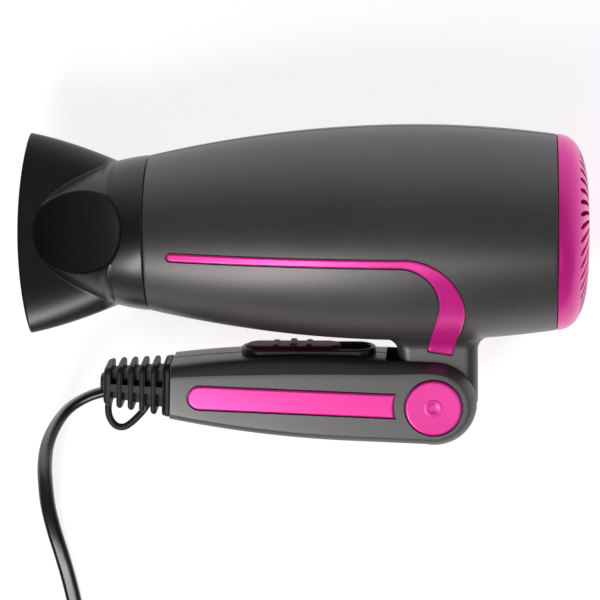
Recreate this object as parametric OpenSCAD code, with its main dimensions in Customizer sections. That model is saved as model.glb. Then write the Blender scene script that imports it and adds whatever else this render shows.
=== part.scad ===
// Folding travel hair dryer, lying on its side with the handle folded under the barrel.
// The plane in which it folds is level. X runs along the barrel, nozzle at -X, intake at +X.
// The handle lies on the -Y side, the hinge axis is vertical, and z = 0 touches the barrel.

/* [Barrel] */
// Largest outside radius of the barrel
barrel_r = 39.1; // [38:0.1:40]
// Wall thickness of the barrel shells
wall = 2.2; // [1.8:0.1:2.6]
// How much the radius falls from the belly to the front seam
front_drop = 10.9; // [10:0.1:11.5]
// How much the radius falls from the belly to the rear seam
rear_drop = 3.7; // [3:0.1:4.5]
// Overall length, nozzle lip to intake
total_len = 207; // [206:0.5:208]

/* [Nozzle] */
// Half width of the nozzle lip
lip_half = 36.6; // [34:0.1:37]
// Half thickness of the flared nozzle at its lip
lip_t = 6.5; // [6:0.1:8]
// Wall thickness of the nozzle
nozzle_wall = 1.6; // [1.4:0.1:1.8]
// How far the nozzle is turned on the barrel, degrees
nozzle_turn = -14; // [-20:1:0]

/* [Handle] */
// Half height of the handle at its thickest, and radius of its hinge end
handle_r = 16.1; // [16:0.1:16.8]
// Half height of the handle at the cord end
handle_tip = 10.7; // [10:0.1:11.5]
// Half width of the handle, along the hinge axis
handle_z = 15; // [14.6:0.1:15.4]
// Distance from the hinge to the cord end of the handle
handle_len = 96.5; // [95:0.5:98]
// Slope of the folded handle towards the barrel, degrees
handle_slope = 2.45; // [2:0.05:3]

/* [Switch] */
// Travel of the switch slider, off to full power
slider_travel = 11; // [8:0.5:11]
// Length of the slider
slider_len = 34.4; // [30:0.1:34.4]
// Length of the switch bezel
bezel_len = 49.4; // [48.5:0.1:50]

/* [Cord] */
// Width of the flat twin cord
cord_w = 5.8; // [5:0.1:6.2]
// Thickness of the flat twin cord
cord_t = 3.8; // [3.4:0.1:4]
// Mean radius of the coil
coil_r = 33.75; // [33:0.25:34]

/* [Hidden] */

front_x = -total_len / 2;
rear_x = total_len / 2;
mid_z = barrel_r;
barrel_y = 19.6;
belly_x = 40;
seam_f = -55.3;
seam_r = 91.8;
hinge = [47.5, -42.4];
gap = 0.15;
groove = 0.45;
degree = 180 / PI;

// Rear cap, a superellipse of revolution
cap_n = 3.3;
cap_x0 = 88;
cap_r = 35.6;

// Neck, the tongue that runs from the barrel into the handle's fork
neck_z = 9.5;
neck_x0 = 34.4;
neck_x1 = 63.5;
tongue_r = 15.6;
fork_z = 9.8;
fork_x = -18.1;
pin_r = 3;
cap_disc_r = 10.3;
bush_r = 5;

// Screws that join the shells, counterbored from the right side
screw_head_r = 2.5;
counterbore_r = 2.7;
hscrew_x = [-66, -30];
hscrew_y = -8;

// Stripes
stripe_in = 0.9;
hstripe_half = 4.4;
hstripe_x0 = -89.5;
hstripe_x1 = -14.6;

// Nozzle
pinch_x = -67.2;
pinch_r = 26.2;
spigot_r = 25;

// Internals along the barrel
duct_r = 29.5;
duct_wall = 1.4;
fan_r = 27.6;
motor_x0 = 47;
motor_x1 = 76;
motor_r = 12;
shaft_r = 1;

// Strain relief, in the handle's own axes
relief_len = 24.8;
relief_z = 8.8;
relief_y0 = 7.3;
relief_y1 = 10.2;
relief_slot0 = 2.8;

// Hanging loop under the strain relief, in the handle's own axes
loop_d = 2.6;
loop_route = [[-119.9, -6, 0], [-120.2, -9.5, 0], [-119.5, -13.4, 0], [-117.3, -16.2, 0],
    [-114.4, -16.6, 0], [-111.8, -15, 0], [-109.3, -12.5, 0], [-107.2, -10, 0], [-105.6, -7.6, 0]];

// Switch
bezel_x = 1.65;
bezel_top = -22.9;
bezel_half = 7;
bezel_t = 2.5;
slider_x0 = -21.1;
slider_top = -22;

// Cord and coil, on the surface that the dryer lies on
lead_route = [[-71, -39.7, 39], [-80, -42.5, 38.5], [-88, -48, 35.5], [-94, -56, 30],
    [-98.5, -65.5, 23.5], [-101, -75.5, 16.5], [-102, -85.5, 10.5], [-102, -96, 6],
    [-100.5, -106.5, 3.2], [-98, -117, 2], [-95.5, -127.5, 1.9], [-93.5, -138, 1.9],
    [-92.3, -149, 2], [-92, -160, 2.3], [-92, -171, 2.8]];
tail_route = [[-50, -223.5, 10.5], [-41, -223.4, 10.5], [-32, -222.6, 10.5], [-23, -220.2, 10.6],
    [-14, -216.6, 11], [-6, -213.2, 11.7], [2, -210.8, 12.6], [10, -210, 13]];
coil_at = [-50, -186];
coil_half = 11.15;
coil_lift = 0.8;
coil_h = 11.9;
plug_at = [8, -210, 13];
pin_pitch = 19;
pin_len = 19;
plug_pin_r = 2.4;

// ---- shared shapes and placing

module at_barrel() translate([0, barrel_y, mid_z]) children();
module along_x() rotate([0, 90, 0]) children();
module at_hinge() translate([hinge[0], hinge[1], mid_z]) children();
module at_handle() at_hinge() rotate([0, 0, -handle_slope]) children();

// Keep only the left half (+Z) or the right half (-Z)
module half(side) intersection() {
    children();
    translate([-300, -300, side > 0 ? 0 : -200]) cube([600, 600, 200]);
}

// A tube or disc about the barrel axis, from x0 to x1
module ring_x(x0, x1, r, hole = 0) translate([x0, 0, 0]) along_x() difference() {
    cylinder(h = x1 - x0, r = r, $fn = 96);
    if (hole > 0) translate([0, 0, -1]) cylinder(h = x1 - x0 + 2, r = hole, $fn = 96);
}

// A flat stadium between two x positions
module stadium(x0, x1, r) {
    translate([x0 + r, 0]) circle(r = r, $fn = 40);
    translate([x1 - r, 0]) circle(r = r, $fn = 40);
    translate([x0 + r, -r]) square([x1 - x0 - 2 * r, 2 * r]);
}

// A rectangle centred at the origin with round corners
module round_rect(w, h, r) {
    square([w - 2 * r, h], center = true);
    square([w, h - 2 * r], center = true);
    for (i = [-1, 1], j = [-1, 1])
        translate([i * (w / 2 - r), j * (h / 2 - r)]) circle(r = r, $fn = 32);
}

// ---- profiles

function barrel_at(x) = x < belly_x
    ? barrel_r - front_drop * pow((belly_x - x) / (belly_x - seam_f), 2)
    : barrel_r - rear_drop * pow((x - belly_x) / (seam_r - belly_x), 2);

module barrel_solid(x0, x1, inset, steps = 16) along_x() rotate_extrude($fn = 120)
    polygon(concat([[0, x0]],
        [for (i = [0 : steps]) let(x = x0 + (x1 - x0) * i / steps) [barrel_at(x) - inset, x]],
        [[0, x1]]));

function cap_point(a, inset) = [
    (cap_r - inset) * pow(sin(a), 2 / cap_n),
    cap_x0 + (rear_x - cap_x0 - inset) * pow(cos(a), 2 / cap_n)];

module cap_solid(inset) along_x() rotate_extrude($fn = 120)
    polygon(concat([[0, cap_x0 - 2]], [[cap_r - inset, cap_x0 - 2]],
        [for (a = [90 : -7.5 : 7.5]) cap_point(a, inset)], [[0, rear_x - inset]]));

// Faces of a solid made of rings of n points, closed at both ends
function ring_faces(rings, n) = concat(
    [[for (k = [0 : n - 1]) k]],
    [for (i = [0 : rings - 2], k = [0 : n - 1], t = [0, 1]) let(m = (k + 1) % n)
        t == 0 ? [i * n + k, (i + 1) * n + k, (i + 1) * n + m]
            : [i * n + k, (i + 1) * n + m, i * n + m]],
    [[for (k = [n - 1 : -1 : 0]) (rings - 1) * n + k]]);

// ---- cord sweep

function unit(v) = v / norm(v);
function along(p, i) = unit(p[min(i + 1, len(p) - 1)] - p[max(i - 1, 0)]);
function flat_ring(c, t, w, h, roll, n) = let(s = unit(cross([0, 0, 1], t)), u = cross(t, s))
    [for (k = [0 : n - 1]) let(a = 360 * k / n, q = w / 2 * cos(a), v = h / 2 * sin(a))
        c + s * (q * cos(roll) - v * sin(roll)) + u * (q * sin(roll) + v * cos(roll))];

module sweep(path, w, h, roll0, roll1, roll_n, n = 10) polyhedron(
    points = [for (i = [0 : len(path) - 1])
        each flat_ring(path[i], along(path, i), w, h,
            roll0 + (roll1 - roll0) * min(1, i / roll_n), n)],
    faces = ring_faces(len(path), n));

// ---- barrel stripe: a bar along the side with an elbow down on to the neck
// Plan outline relative to the barrel axis; grow widens it for the recess

module stripe_plan(grow) {
    bar_x0 = -46.7;
    bar_y = -2.6;
    bar_h = 1.7 + grow;
    elbow = [37.1, -22.9];
    outer_r = 22;
    inner_r = 14.4;
    translate([bar_x0 + bar_h, bar_y]) circle(r = bar_h, $fn = 48);
    translate([bar_x0 + bar_h, bar_y - bar_h]) square([elbow[0] + 1 - bar_x0 - bar_h, 2 * bar_h]);
    intersection() {
        difference() {
            translate(elbow) circle(r = outer_r + grow, $fn = 96);
            translate([elbow[0] - 1.3, elbow[1] + 3.7]) circle(r = inner_r - grow, $fn = 96);
        }
        translate([elbow[0], -22]) square([40, 30]);
    }
    polygon([[49.6 - grow, -20.5], [59 + grow, -20.5], [58 + grow, -29], [54.7 + grow, -43.6 - grow],
        [45.2 - grow, -42.6 - grow], [47.9 - grow, -30]]);
}

// Layer of the barrel and neck surface that the stripe fills
module stripe_layer(depth, over) difference() {
    union() {
        barrel_solid(seam_f, seam_r, -over, 12);
        neck(over);
    }
    barrel_solid(seam_f - 1, seam_r + 1, depth, 12);
    neck(-depth);
}

module barrel_stripe(side) color("deeppink") at_barrel() intersection() {
    stripe_layer(stripe_in - gap, 0.05);
    translate([0, 0, side > 0 ? 2 : -60]) linear_extrude(58) stripe_plan(0);
}

// ---- barrel shells

// Neck: a round-cornered column that ends in a flat tongue, round about the hinge
module neck(grow = 0) translate([0, hinge[1] - barrel_y, 0]) {
    translate([(neck_x0 + neck_x1) / 2, 0, 0]) rotate([-90, 0, 0]) linear_extrude(34)
        round_rect(neck_x1 - neck_x0 + 2 * grow, 2 * (neck_z + grow), 4.5 + grow);
    translate([hinge[0], 0, -neck_z - grow])
        cylinder(h = 2 * (neck_z + grow), r = tongue_r + grow, $fn = 96);
}

screw_at = [[-28, 30], [-28, -30], [28, 33], [68, 33.1]];
module at_screws(z) for (p = screw_at) translate([p[0], p[1], z]) children();

module barrel_shell(side) color([0.36, 0.36, 0.37]) at_barrel() half(side) difference() {
    union() {
        barrel_solid(seam_f, seam_r, 0);
        neck();
    }
    difference() {
        barrel_solid(seam_f - 1, seam_r + 1, wall);
        at_screws(-16) cylinder(h = 32, r = 3.4, $fn = 32);
    }
    // wire way through the neck
    translate([neck_x0 + wall + 6, hinge[1] - barrel_y + 8, -neck_z + wall])
        cube([neck_x1 - neck_x0 - 2 * wall - 9, 22, 2 * (neck_z - wall)]);
    // seat of the hinge bush
    translate([hinge[0], hinge[1] - barrel_y, -20]) cylinder(h = 40, r = bush_r, $fn = 48);
    // screw holes, with counterbores on the right side
    at_screws(-20) cylinder(h = 28.5, r = 1.3, $fn = 32);
    at_screws(-40) cylinder(h = 33, r = counterbore_r, $fn = 32);
    intersection() {
        stripe_layer(stripe_in, 1);
        for (z = [-60, 2]) translate([0, 0, z]) linear_extrude(58) stripe_plan(groove);
    }
}

module barrel_screws() color("silver") at_barrel() at_screws(-7) {
    cylinder(h = 15, r = 1.25, $fn = 24);
    translate([0, 0, -1.9]) cylinder(h = 1.9, r = screw_head_r, $fn = 24);
}

module hinge_bush() color("silver") at_hinge() translate([0, 0, -neck_z]) difference() {
    cylinder(h = 2 * neck_z, r = bush_r - 0.05, $fn = 48);
    translate([0, 0, -1]) cylinder(h = 2 * neck_z + 2, r = pin_r + 0.05, $fn = 48);
}

// ---- front of the barrel

module outlet_collar() color([0.1, 0.1, 0.1]) at_barrel() difference() {
    union() {
        ring_x(seam_f + 0.2, seam_f + 12, barrel_at(seam_f) - wall - 0.1);
        ring_x(seam_f + 2, seam_f + 12, barrel_at(seam_f + 2) - wall - 0.1);
    }
    ring_x(seam_f - 1, seam_f + 13, spigot_r + 0.3);
}

module outlet_grille() color([0.08, 0.08, 0.08]) at_barrel() translate([seam_f + 9.2, 0, 0]) {
    ring_x(0, 2.2, spigot_r + 0.2, spigot_r - 1.6);
    for (r = [7, 13, 19]) ring_x(0, 2.2, r + 0.6, r - 0.6);
    for (a = [0 : 60 : 300]) rotate([a, 0, 0])
        translate([0.1, -0.6, 5.8]) cube([2, 1.2, spigot_r - 6.6]);
}

// ---- heater

module mica_sleeve() color([0.75, 0.68, 0.5]) at_barrel() ring_x(-42, 38, 26.6, 26);

module mica_board(tilt, slot_x0, slot_x1) rotate([tilt, 0, 0]) difference() {
    translate([-40, -25.8, -0.4]) cube([76, 51.6, 0.8]);
    translate([slot_x0, -0.5, -1]) cube([slot_x1 - slot_x0, 1, 2]);
    for (x = [-34 : 9 : 29], s = [-1, 1])
        translate([x - 1.6, s > 0 ? 20.8 : -28.8, -1]) cube([3.2, 8, 2]);
}
module mica_board_upright() color([0.8, 0.74, 0.58]) at_barrel() mica_board(90, -41, -2);
module mica_board_level() color([0.8, 0.74, 0.58]) at_barrel() mica_board(0, -2, 37);

module heater_coils() color([0.55, 0.5, 0.45]) at_barrel() for (x = [-34 : 9 : 29])
    translate([x, 0, 0]) along_x() rotate_extrude($fn = 72)
        translate([22.6, 0]) circle(r = 1.5, $fn = 16);

module thermostat() color("silver") at_barrel() translate([8, 9, 0.5]) {
    cube([14, 7, 5]);
    translate([-4, 2.5, 1]) cube([4, 2, 1]);
    translate([14, 2.5, 1]) cube([4, 2, 1]);
}

module thermal_fuse() color("gold") at_barrel() translate([-16, -11, 2.2]) {
    along_x() cylinder(h = 11, r = 1.7, $fn = 24);
    translate([-5, 0, 0]) along_x() cylinder(h = 21, r = 0.5, $fn = 16);
}

// ---- fan and motor

module fan_duct() color([0.2, 0.2, 0.22]) at_barrel() {
    ring_x(41, 91.5, duct_r, duct_r - duct_wall);
    ring_x(motor_x0 + 3, motor_x1 - 2, motor_r + 1.8, motor_r + 0.1);
    for (a = [15 : 60 : 315]) rotate([a, 0, 0])
        translate([motor_x0 + 5, -0.7, motor_r + 1.5]) cube([20, 1.4, duct_r - motor_r - 2.2]);
}

module motor_can() color("silver") at_barrel() difference() {
    ring_x(motor_x0, motor_x1, motor_r);
    ring_x(motor_x0 - 1, motor_x1 - 1, motor_r - 0.9);
    ring_x(motor_x1 - 2, motor_x1 + 1, 2);
}

module motor_magnets() color([0.15, 0.15, 0.16]) at_barrel() for (a = [0, 180])
    translate([motor_x0 + 5, 0, 0]) along_x() rotate([0, 0, a - 60])
        rotate_extrude(angle = 120, $fn = 72) translate([9, 0]) square([2, 20]);

module motor_end_cap() color([0.9, 0.9, 0.85]) at_barrel() difference() {
    ring_x(motor_x0 - 1.6, motor_x0 + 1.4, motor_r - 1);
    ring_x(motor_x0 - 3, motor_x0 + 3, shaft_r + 0.05);
}

module diode_board() color("darkgreen") at_barrel() {
    ring_x(motor_x0 - 4.6, motor_x0 - 3, 13.5, 3);
    for (y = [-7, -2.4, 2.2, 6.8]) translate([motor_x0 - 7.4, y - 1, 6]) cube([2.8, 2, 4.5]);
    for (s = [-1, 1]) translate([motor_x0 - 3, s * 7 - 0.5, -1]) cube([1.4, 1, 2]);
}

module motor_armature() color([0.6, 0.35, 0.2]) at_barrel() {
    difference() {
        ring_x(motor_x0 + 7, motor_x1 - 6, 8.4, shaft_r);
        for (a = [0 : 120 : 240]) rotate([a, 0, 0])
            translate([motor_x0 + 6, -1, 4]) cube([20, 2, 6]);
    }
    ring_x(motor_x0 + 2.5, motor_x0 + 6, 2.8, shaft_r);
}

module motor_shaft() color("silver") at_barrel() ring_x(motor_x0 - 1.2, motor_x1 + 12, shaft_r);

module fan_impeller() color([0.13, 0.13, 0.14]) at_barrel() difference() {
    union() {
        ring_x(motor_x1 + 1, motor_x1 + 12, 10);
        for (k = [0 : 6]) rotate([k * 360 / 7, 0, 0]) translate([motor_x1 + 6.5, 0, 9.4])
            rotate([0, 0, 52]) linear_extrude(fan_r - 9.6) square([10.5, 1.1], center = true);
    }
    ring_x(motor_x1 - 1, motor_x1 + 14, shaft_r);
    ring_x(motor_x1, motor_x1 + 3.5, 8.4);
}

// ---- intake

module intake_mesh() color([0.25, 0.25, 0.26]) at_barrel() translate([92.6, 0, 0]) {
    ring_x(0, 1, 32.5, 30.6);
    intersection() {
        ring_x(0.2, 0.8, 31);
        union() for (i = [-7 : 7]) {
            translate([0.2, i * 4.1 - 0.4, -32]) cube([0.6, 0.8, 64]);
            translate([0.2, -32, i * 4.1 - 0.4]) cube([0.6, 64, 0.8]);
        }
    }
}

// A slot from radius r0 to r1 that sweeps round by turn degrees, and widens to 2 half_w at r1
module spiral_slot(r0, r1, turn, half_w) {
    half_a = half_w / r1 * degree;
    edge = [for (i = [0 : 5]) [r0 + (r1 - r0) * i / 5, turn * i / 5]];
    polygon(concat(
        [for (e = edge) e[0] * [cos(e[1] + half_a), sin(e[1] + half_a)]],
        [for (i = [5 : -1 : 0]) let(e = edge[i]) e[0] * [cos(e[1] - half_a), sin(e[1] - half_a)]]));
}

module rear_cap() color("deeppink") at_barrel() difference() {
    intersection() {
        cap_solid(0);
        ring_x(seam_r + gap, rear_x + 1, cap_r + 1);
    }
    intersection() {
        cap_solid(2);
        ring_x(seam_r - 1, rear_x, cap_r);
    }
    ring_x(seam_r - 1, seam_r + 2, 32.8);
    for (k = [0 : 39]) rotate([k * 360 / 40, 0, 0]) translate([94, 0, 0]) along_x()
        linear_extrude(12) spiral_slot(15, 30.5, 12, 1.05);
    for (k = [0 : 15]) rotate([k * 360 / 16, 0, 0]) translate([94, 0, 0]) along_x()
        linear_extrude(12) spiral_slot(5, 13, 20, 0.95);
}

// ---- nozzle: a round cone that flattens into a flared slot, with a dished oval on each side

lip_x = -99.5;
cone_x = -98.8;
function lip_line(y) = front_x + (lip_x - front_x) * pow(y / lip_half, 2);
function cone_at(x) = max(0, (x - cone_x) / (pinch_x - cone_x));
function plan_half(x) = x < pinch_x
    ? let(t = (pinch_x - x) / (pinch_x - lip_x)) pinch_r + (lip_half - pinch_r) * t * (1.4 - 0.4 * t)
    : pinch_r + (barrel_at(seam_f) - pinch_r) * (1 - pow((seam_f - x) / (seam_f - pinch_x), 2.4));
function slab_half(x) = lip_t + 2.5 * max(0, (x - front_x) / (pinch_x - front_x));
function cone_half(x) = x > pinch_x ? plan_half(x)
    : pinch_r * pow(cone_at(x), 0.36);
function cone_top(x) = x > pinch_x ? plan_half(x)
    : slab_half(x) + (pinch_r - slab_half(x)) * pow(cone_at(x), 0.8);
function facet(x) = let(d = max(0, x + 97)) lip_t + 0.3 + 0.329 * d + 0.008 * d * d;
function cone_z(x, y) = let(w = cone_half(x)) abs(y) >= w ? 0
    : min(cone_top(x) * sqrt(1 - pow(y / w, 2)), facet(x));
function nozzle_z(x, y, a) =
    x > pinch_x ? min(plan_half(x) * abs(sin(a)), facet(x))
    : max(slab_half(x) * sqrt(1 - pow(abs(cos(a)), 4.5)), cone_z(x, y));

nz_n = 44;
nz_rings = 16;
nz_split = 0.78;
function nozzle_ring(u, inset) = let(
        v = u / nz_split,
        w = (u - nz_split) / (1 - nz_split),
        xn = u < nz_split ? lip_x + (pinch_x - lip_x) * v : pinch_x + (seam_f - gap - pinch_x) * w,
        past = inset == 0 ? 0 : u == 0 ? -2 : u == 1 ? 2 : 0)
    [for (k = [0 : nz_n - 1]) let(
        a = 360 * (k + 0.5) / nz_n,
        y = plan_half(xn) * cos(a),
        x = u < nz_split ? lip_line(y) * (1 - v) + pinch_x * v : xn,
        z = nozzle_z(x, y, a) * sign(sin(a)),
        f = 1 - inset / plan_half(xn))
        [x + past, y * f, sign(z) * max(abs(z) - inset, 0.6)]];

module nozzle_body(inset) {
    rings = [for (i = [0 : nz_rings]) nozzle_ring(i / nz_rings, inset)];
    polyhedron(points = [for (r = rings) each r], faces = ring_faces(nz_rings + 1, nz_n));
}

module concentrator_nozzle() color([0.09, 0.09, 0.1]) at_barrel() rotate([nozzle_turn, 0, 0]) {
    difference() {
        nozzle_body(0);
        nozzle_body(nozzle_wall);
    }
    ring_x(seam_f - 3, seam_f - gap, 27.4, spigot_r - 1.5);
    ring_x(seam_f - 1, seam_f + 8, spigot_r, spigot_r - 1.5);
}

// ---- handle, in its own axes: hinge at the origin, cord end at -x

function handle_half(x) = let(k = -30)
    x < k ? handle_r - (handle_r - handle_tip) * pow((k - x) / (handle_len + k), 2) : handle_r;

// The handle is a little flatter below, and its face is drawn in most along the upper edge
low_side = 0.5;
function face_draw(x) = 0.4 + 1.8 * max(0, 1 - pow((x + 50) / 46, 2));

// Plan outline as a list of points, moved inwards by inset and by draw, with f of the face's draw
function handle_edge(inset, draw, f) = let(
        x0 = -handle_len + inset + draw / 5,
        d = inset + draw,
        low = d + low_side + 0.6 * f)
    concat(
        [for (i = [0 : 14]) let(x = x0 * (1 - i / 14)) [x, low - handle_half(x)]],
        [for (i = [1 : 17]) let(a = -90 + 10 * i)
            [cos(a), sin(a)] * (handle_r - d - 0.5 * f - low_side * max(0, -sin(a)))],
        [for (i = [14 : -1 : 0]) let(x = x0 * (1 - i / 14)) [x, handle_half(x) - d - f * face_draw(x)]]);

// Side of the pillow: height over the middle plane, how far it is drawn in, share of the face's draw
pillow_side = [[4, 0, 0], [7.5, 0.12, 0], [10, 0.45, 0], [12, 1.1, 0.1], [13.6, 1.9, 0.4], [15, 3, 1]];

// Pillow: the outline, rounded towards both faces up to a crisp edge
module handle_pillow(inset) {
    m = len(pillow_side);
    n = len(handle_edge(0, 0, 0));
    side = [for (p = pillow_side) [p[0] * handle_z / 15 - inset, p[1], p[2]]];
    stack = concat([for (i = [m - 1 : -1 : 0]) [-side[i][0], side[i][1], side[i][2]]], side);
    polyhedron(points = [for (l = stack, p = handle_edge(inset, l[1], l[2])) [p[0], p[1], l[0]]],
        faces = ring_faces(2 * m, n));
}

module fork_slot() translate([fork_x, -handle_r - 1, -fork_z])
    cube([60, 2 * handle_r + 2, 2 * fork_z]);

module handle_bosses(r) for (x = hscrew_x)
    translate([x, hscrew_y, -handle_z + 1]) cylinder(h = 2 * handle_z - 2, r = r, $fn = 32);

module handle_shell(side) color([0.36, 0.36, 0.37]) at_handle() half(side) difference() {
    handle_pillow(0);
    difference() {
        handle_pillow(wall);
        translate([fork_x - wall, -30, -fork_z - wall]) cube([80, 60, 2 * (fork_z + wall)]);
        handle_bosses(3.2);
        for (s = [-1, 1]) translate([0, 0, s * 12.4 - 2.6]) cylinder(h = 5.2, r = 11.5, $fn = 64);
    }
    fork_slot();
    // passage for the leads into the fork
    translate([fork_x - 4, -4, -5]) cube([8, 8, 10]);
    // hinge bolt bore, and recess of the cap disc
    translate([0, 0, -20]) cylinder(h = 40, r = pin_r + 0.02, $fn = 48);
    for (s = [-1, 1]) translate([0, 0, s * (handle_z - 0.6) - 1.6])
        cylinder(h = 3.2, r = cap_disc_r + groove, $fn = 96);
    // deep seats of the bolt head and the nut
    for (s = [-1, 1]) translate([0, 0, s > 0 ? 11 : -13.4]) cylinder(h = 2.4, r = 6, $fn = 48);
    // handle stripe recess
    for (s = [-1, 1]) translate([0, 0, s * handle_z - stripe_in])
        linear_extrude(2 * stripe_in) handle_stripe_plan(groove);
    // mouth for the strain relief
    translate([-handle_len - 1, -6, -8]) cube([wall + 2, 12, 16]);
    // screw holes, counterbored on the right side
    handle_bosses(1.2);
    for (x = hscrew_x) translate([x, hscrew_y, -handle_z - 1])
        cylinder(h = 6, r = counterbore_r, $fn = 32);
    // window for the switch bezel
    switch_window_in_handle();
}

// Outline of the bezel, moved inwards by ends at each end, with the given half width
module bezel_plan(ends, half_w)
    stadium(bezel_x - bezel_len / 2 + ends, bezel_x + bezel_len / 2 - ends, half_w);

// Opening for the switch, with a seat for the bezel's flange
module switch_window_in_handle() rotate([0, 0, handle_slope]) translate([-hinge[0], -hinge[1], 0]) {
    translate([0, bezel_top + 3, 0]) rotate([90, 0, 0]) linear_extrude(10) bezel_plan(1.4, 5.7);
    translate([0, bezel_top + 3, 0]) rotate([90, 0, 0]) linear_extrude(3 + bezel_t + 0.05)
        bezel_plan(-0.1, bezel_half + 0.1);
}

module handle_stripe_plan(grow) difference() {
    union() {
        translate([hstripe_x0 + hstripe_half, 0]) circle(r = hstripe_half + grow, $fn = 48);
        translate([hstripe_x0 + hstripe_half, -hstripe_half - grow])
            square([-hstripe_x0 - hstripe_half, 2 * (hstripe_half + grow)]);
    }
    circle(r = -hstripe_x1 - grow, $fn = 96);
}

module handle_stripe(side) color("deeppink") at_handle()
    translate([0, 0, side > 0 ? handle_z - stripe_in + 0.05 : -handle_z])
        linear_extrude(stripe_in - 0.05) handle_stripe_plan(0);

module hinge_cap(side) color("deeppink") at_handle()
    rotate([side > 0 ? 0 : 180, 0, 0]) translate([0, 0, handle_z - 2.15]) difference() {
        cylinder(h = 2.6, r = cap_disc_r, $fn = 96);
        translate([0, 0, 2.3]) difference() {
            cylinder(h = 1, r = 3.1, $fn = 48);
            translate([0, 0, -1]) cylinder(h = 3, r = 2.1, $fn = 48);
        }
    }

module hinge_bolt() color("silver") at_handle() {
    translate([0, 0, -12.8]) cylinder(h = 24.2, r = pin_r, $fn = 48);
    translate([0, 0, 11.05]) cylinder(h = 1.75, r = 5.6, $fn = 48);
}
module hinge_nut() color("silver") at_handle() translate([0, 0, -12.75]) difference() {
    cylinder(h = 1.7, r = 5.2, $fn = 6);
    translate([0, 0, -1]) cylinder(h = 4, r = pin_r + 0.01, $fn = 48);
}
module hinge_washer() color("gold") at_handle() translate([0, 0, fork_z - 0.28]) difference() {
    cylinder(h = 0.27, r = 7, $fn = 48);
    translate([0, 0, -1]) cylinder(h = 3, r = pin_r + 0.1, $fn = 48);
}

module handle_screws() color("silver") at_handle() for (x = hscrew_x)
    translate([x, hscrew_y, -handle_z + 4.9]) {
        cylinder(h = 16, r = 1.15, $fn = 24);
        translate([0, 0, -1.8]) cylinder(h = 1.8, r = screw_head_r, $fn = 24);
    }

// ---- switch, on the side of the handle that faces the barrel

module at_switch(top) translate([0, top, mid_z]) rotate([90, 0, 0]) children();

module switch_bezel() color([0.06, 0.06, 0.07]) difference() {
    union() {
        at_switch(bezel_top) linear_extrude(bezel_t) bezel_plan(0, bezel_half);
        at_switch(bezel_top - 2) linear_extrude(4.6) bezel_plan(1.6, 5.5);
    }
    at_switch(bezel_top + 1) linear_extrude(3.4) bezel_plan(1.5, 5.2);
    translate([slider_x0 + 9, bezel_top - 10, mid_z - 2]) cube([28, 12, 4]);
}

module switch_slider() color([0.5, 0.08, 0.3]) {
    at_switch(slider_top) linear_extrude(3)
        stadium(slider_x0, slider_x0 + slider_len, 4.9);
    for (r = [[-13.1, 0.3], [-6.8, 0.8], [-1, 0.4]])
        translate([r[0] + 2, slider_top - 0.2, mid_z - 4.2]) cube([1.8, r[1] + 0.2, 8.4]);
    translate([slider_x0 + 12, slider_top - 9.2, mid_z - 1.5]) cube([6, 8, 3]);
}

module switch_body() color([0.12, 0.12, 0.13]) difference() {
    translate([-18, -39, mid_z - 5.4]) cube([38, 9.2, 10.8]);
    translate([slider_x0 + 10, -32.4, mid_z - 2]) cube([slider_travel + 12, 4, 4]);
}

// ---- cord entry

module cord_clamp() color([0.85, 0.85, 0.8]) at_handle() translate([-86.5, 0, 0]) difference() {
    translate([0, -1.9, -10]) cube([5, 3, 20]);
    for (s = [-1, 1]) translate([2.5, 5, s * 7]) rotate([90, 0, 0])
        cylinder(h = 20, r = 1.25, $fn = 24);
}
module clamp_screws() color("silver") at_handle() for (s = [-1, 1])
    translate([-84, 2.6, s * 7]) rotate([90, 0, 0]) {
        cylinder(h = 8, r = 1.2, $fn = 24);
        cylinder(h = 1.5, r = 2.2, $fn = 24);
    }

module handle_leads() color([0.7, 0.1, 0.1]) at_handle() for (s = [-1, 1])
    translate([-80.5, 2.6, s * 2.2]) along_x() cylinder(h = 12, r = 1.1, $fn = 20);

function relief_half(x) = relief_y1 + (relief_y0 - relief_y1) * (-handle_len - x) / relief_len;

module relief_block(x0, x1) hull() for (x = [x0, x1]) translate([x - 0.05, 0, 0])
    rotate([90, 0, 90]) linear_extrude(0.1)
        round_rect(2 * relief_half(x), 2 * relief_z, 2.4);

module strain_relief() color([0.09, 0.09, 0.09]) at_handle() {
    relief_end = -handle_len - relief_len;
    difference() {
        relief_block(relief_end + 0.05, -handle_len - 0.1);
        for (k = [0 : 4]) translate([relief_end + relief_slot0 + k * 4.2, 0, 0]) for (s = [-1, 1]) {
            translate([0, -20, s > 0 ? relief_z - 2.6 : -relief_z - 1]) cube([2.2, 18.8, 3.6]);
            translate([0, 1.2, s > 0 ? relief_z - 2.6 : -relief_z - 1]) cube([2.2, 18.8, 3.6]);
            translate([0, s > 0 ? relief_half(-115) - 1.8 : -relief_half(-115) - 3.2, -20])
                cube([2.2, 5, 40]);
        }
    }
    translate([-handle_len - 0.2, -5.8, -7.8]) cube([wall + 1, 11.6, 15.6]);
    translate([-handle_len + wall + 0.4, -7, -9]) cube([2.3, 14, 18]);
    sweep(loop_route, loop_d, loop_d, 0, 0, 1, 10);
}

// ---- free cord, put away in a coil

module cord_lead() color([0.05, 0.05, 0.05]) sweep(lead_route, cord_w, cord_t, 90, 0, 7);
module cord_tail() color([0.05, 0.05, 0.05]) sweep(tail_route, cord_w, cord_t, 0, 0, 1);

module cord_coil() color([0.05, 0.05, 0.05]) translate([coil_at[0], coil_at[1], coil_lift])
    rotate_extrude($fn = 96) translate([coil_r, coil_h / 2]) round_rect(2 * coil_half, coil_h, 1.8);

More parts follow.
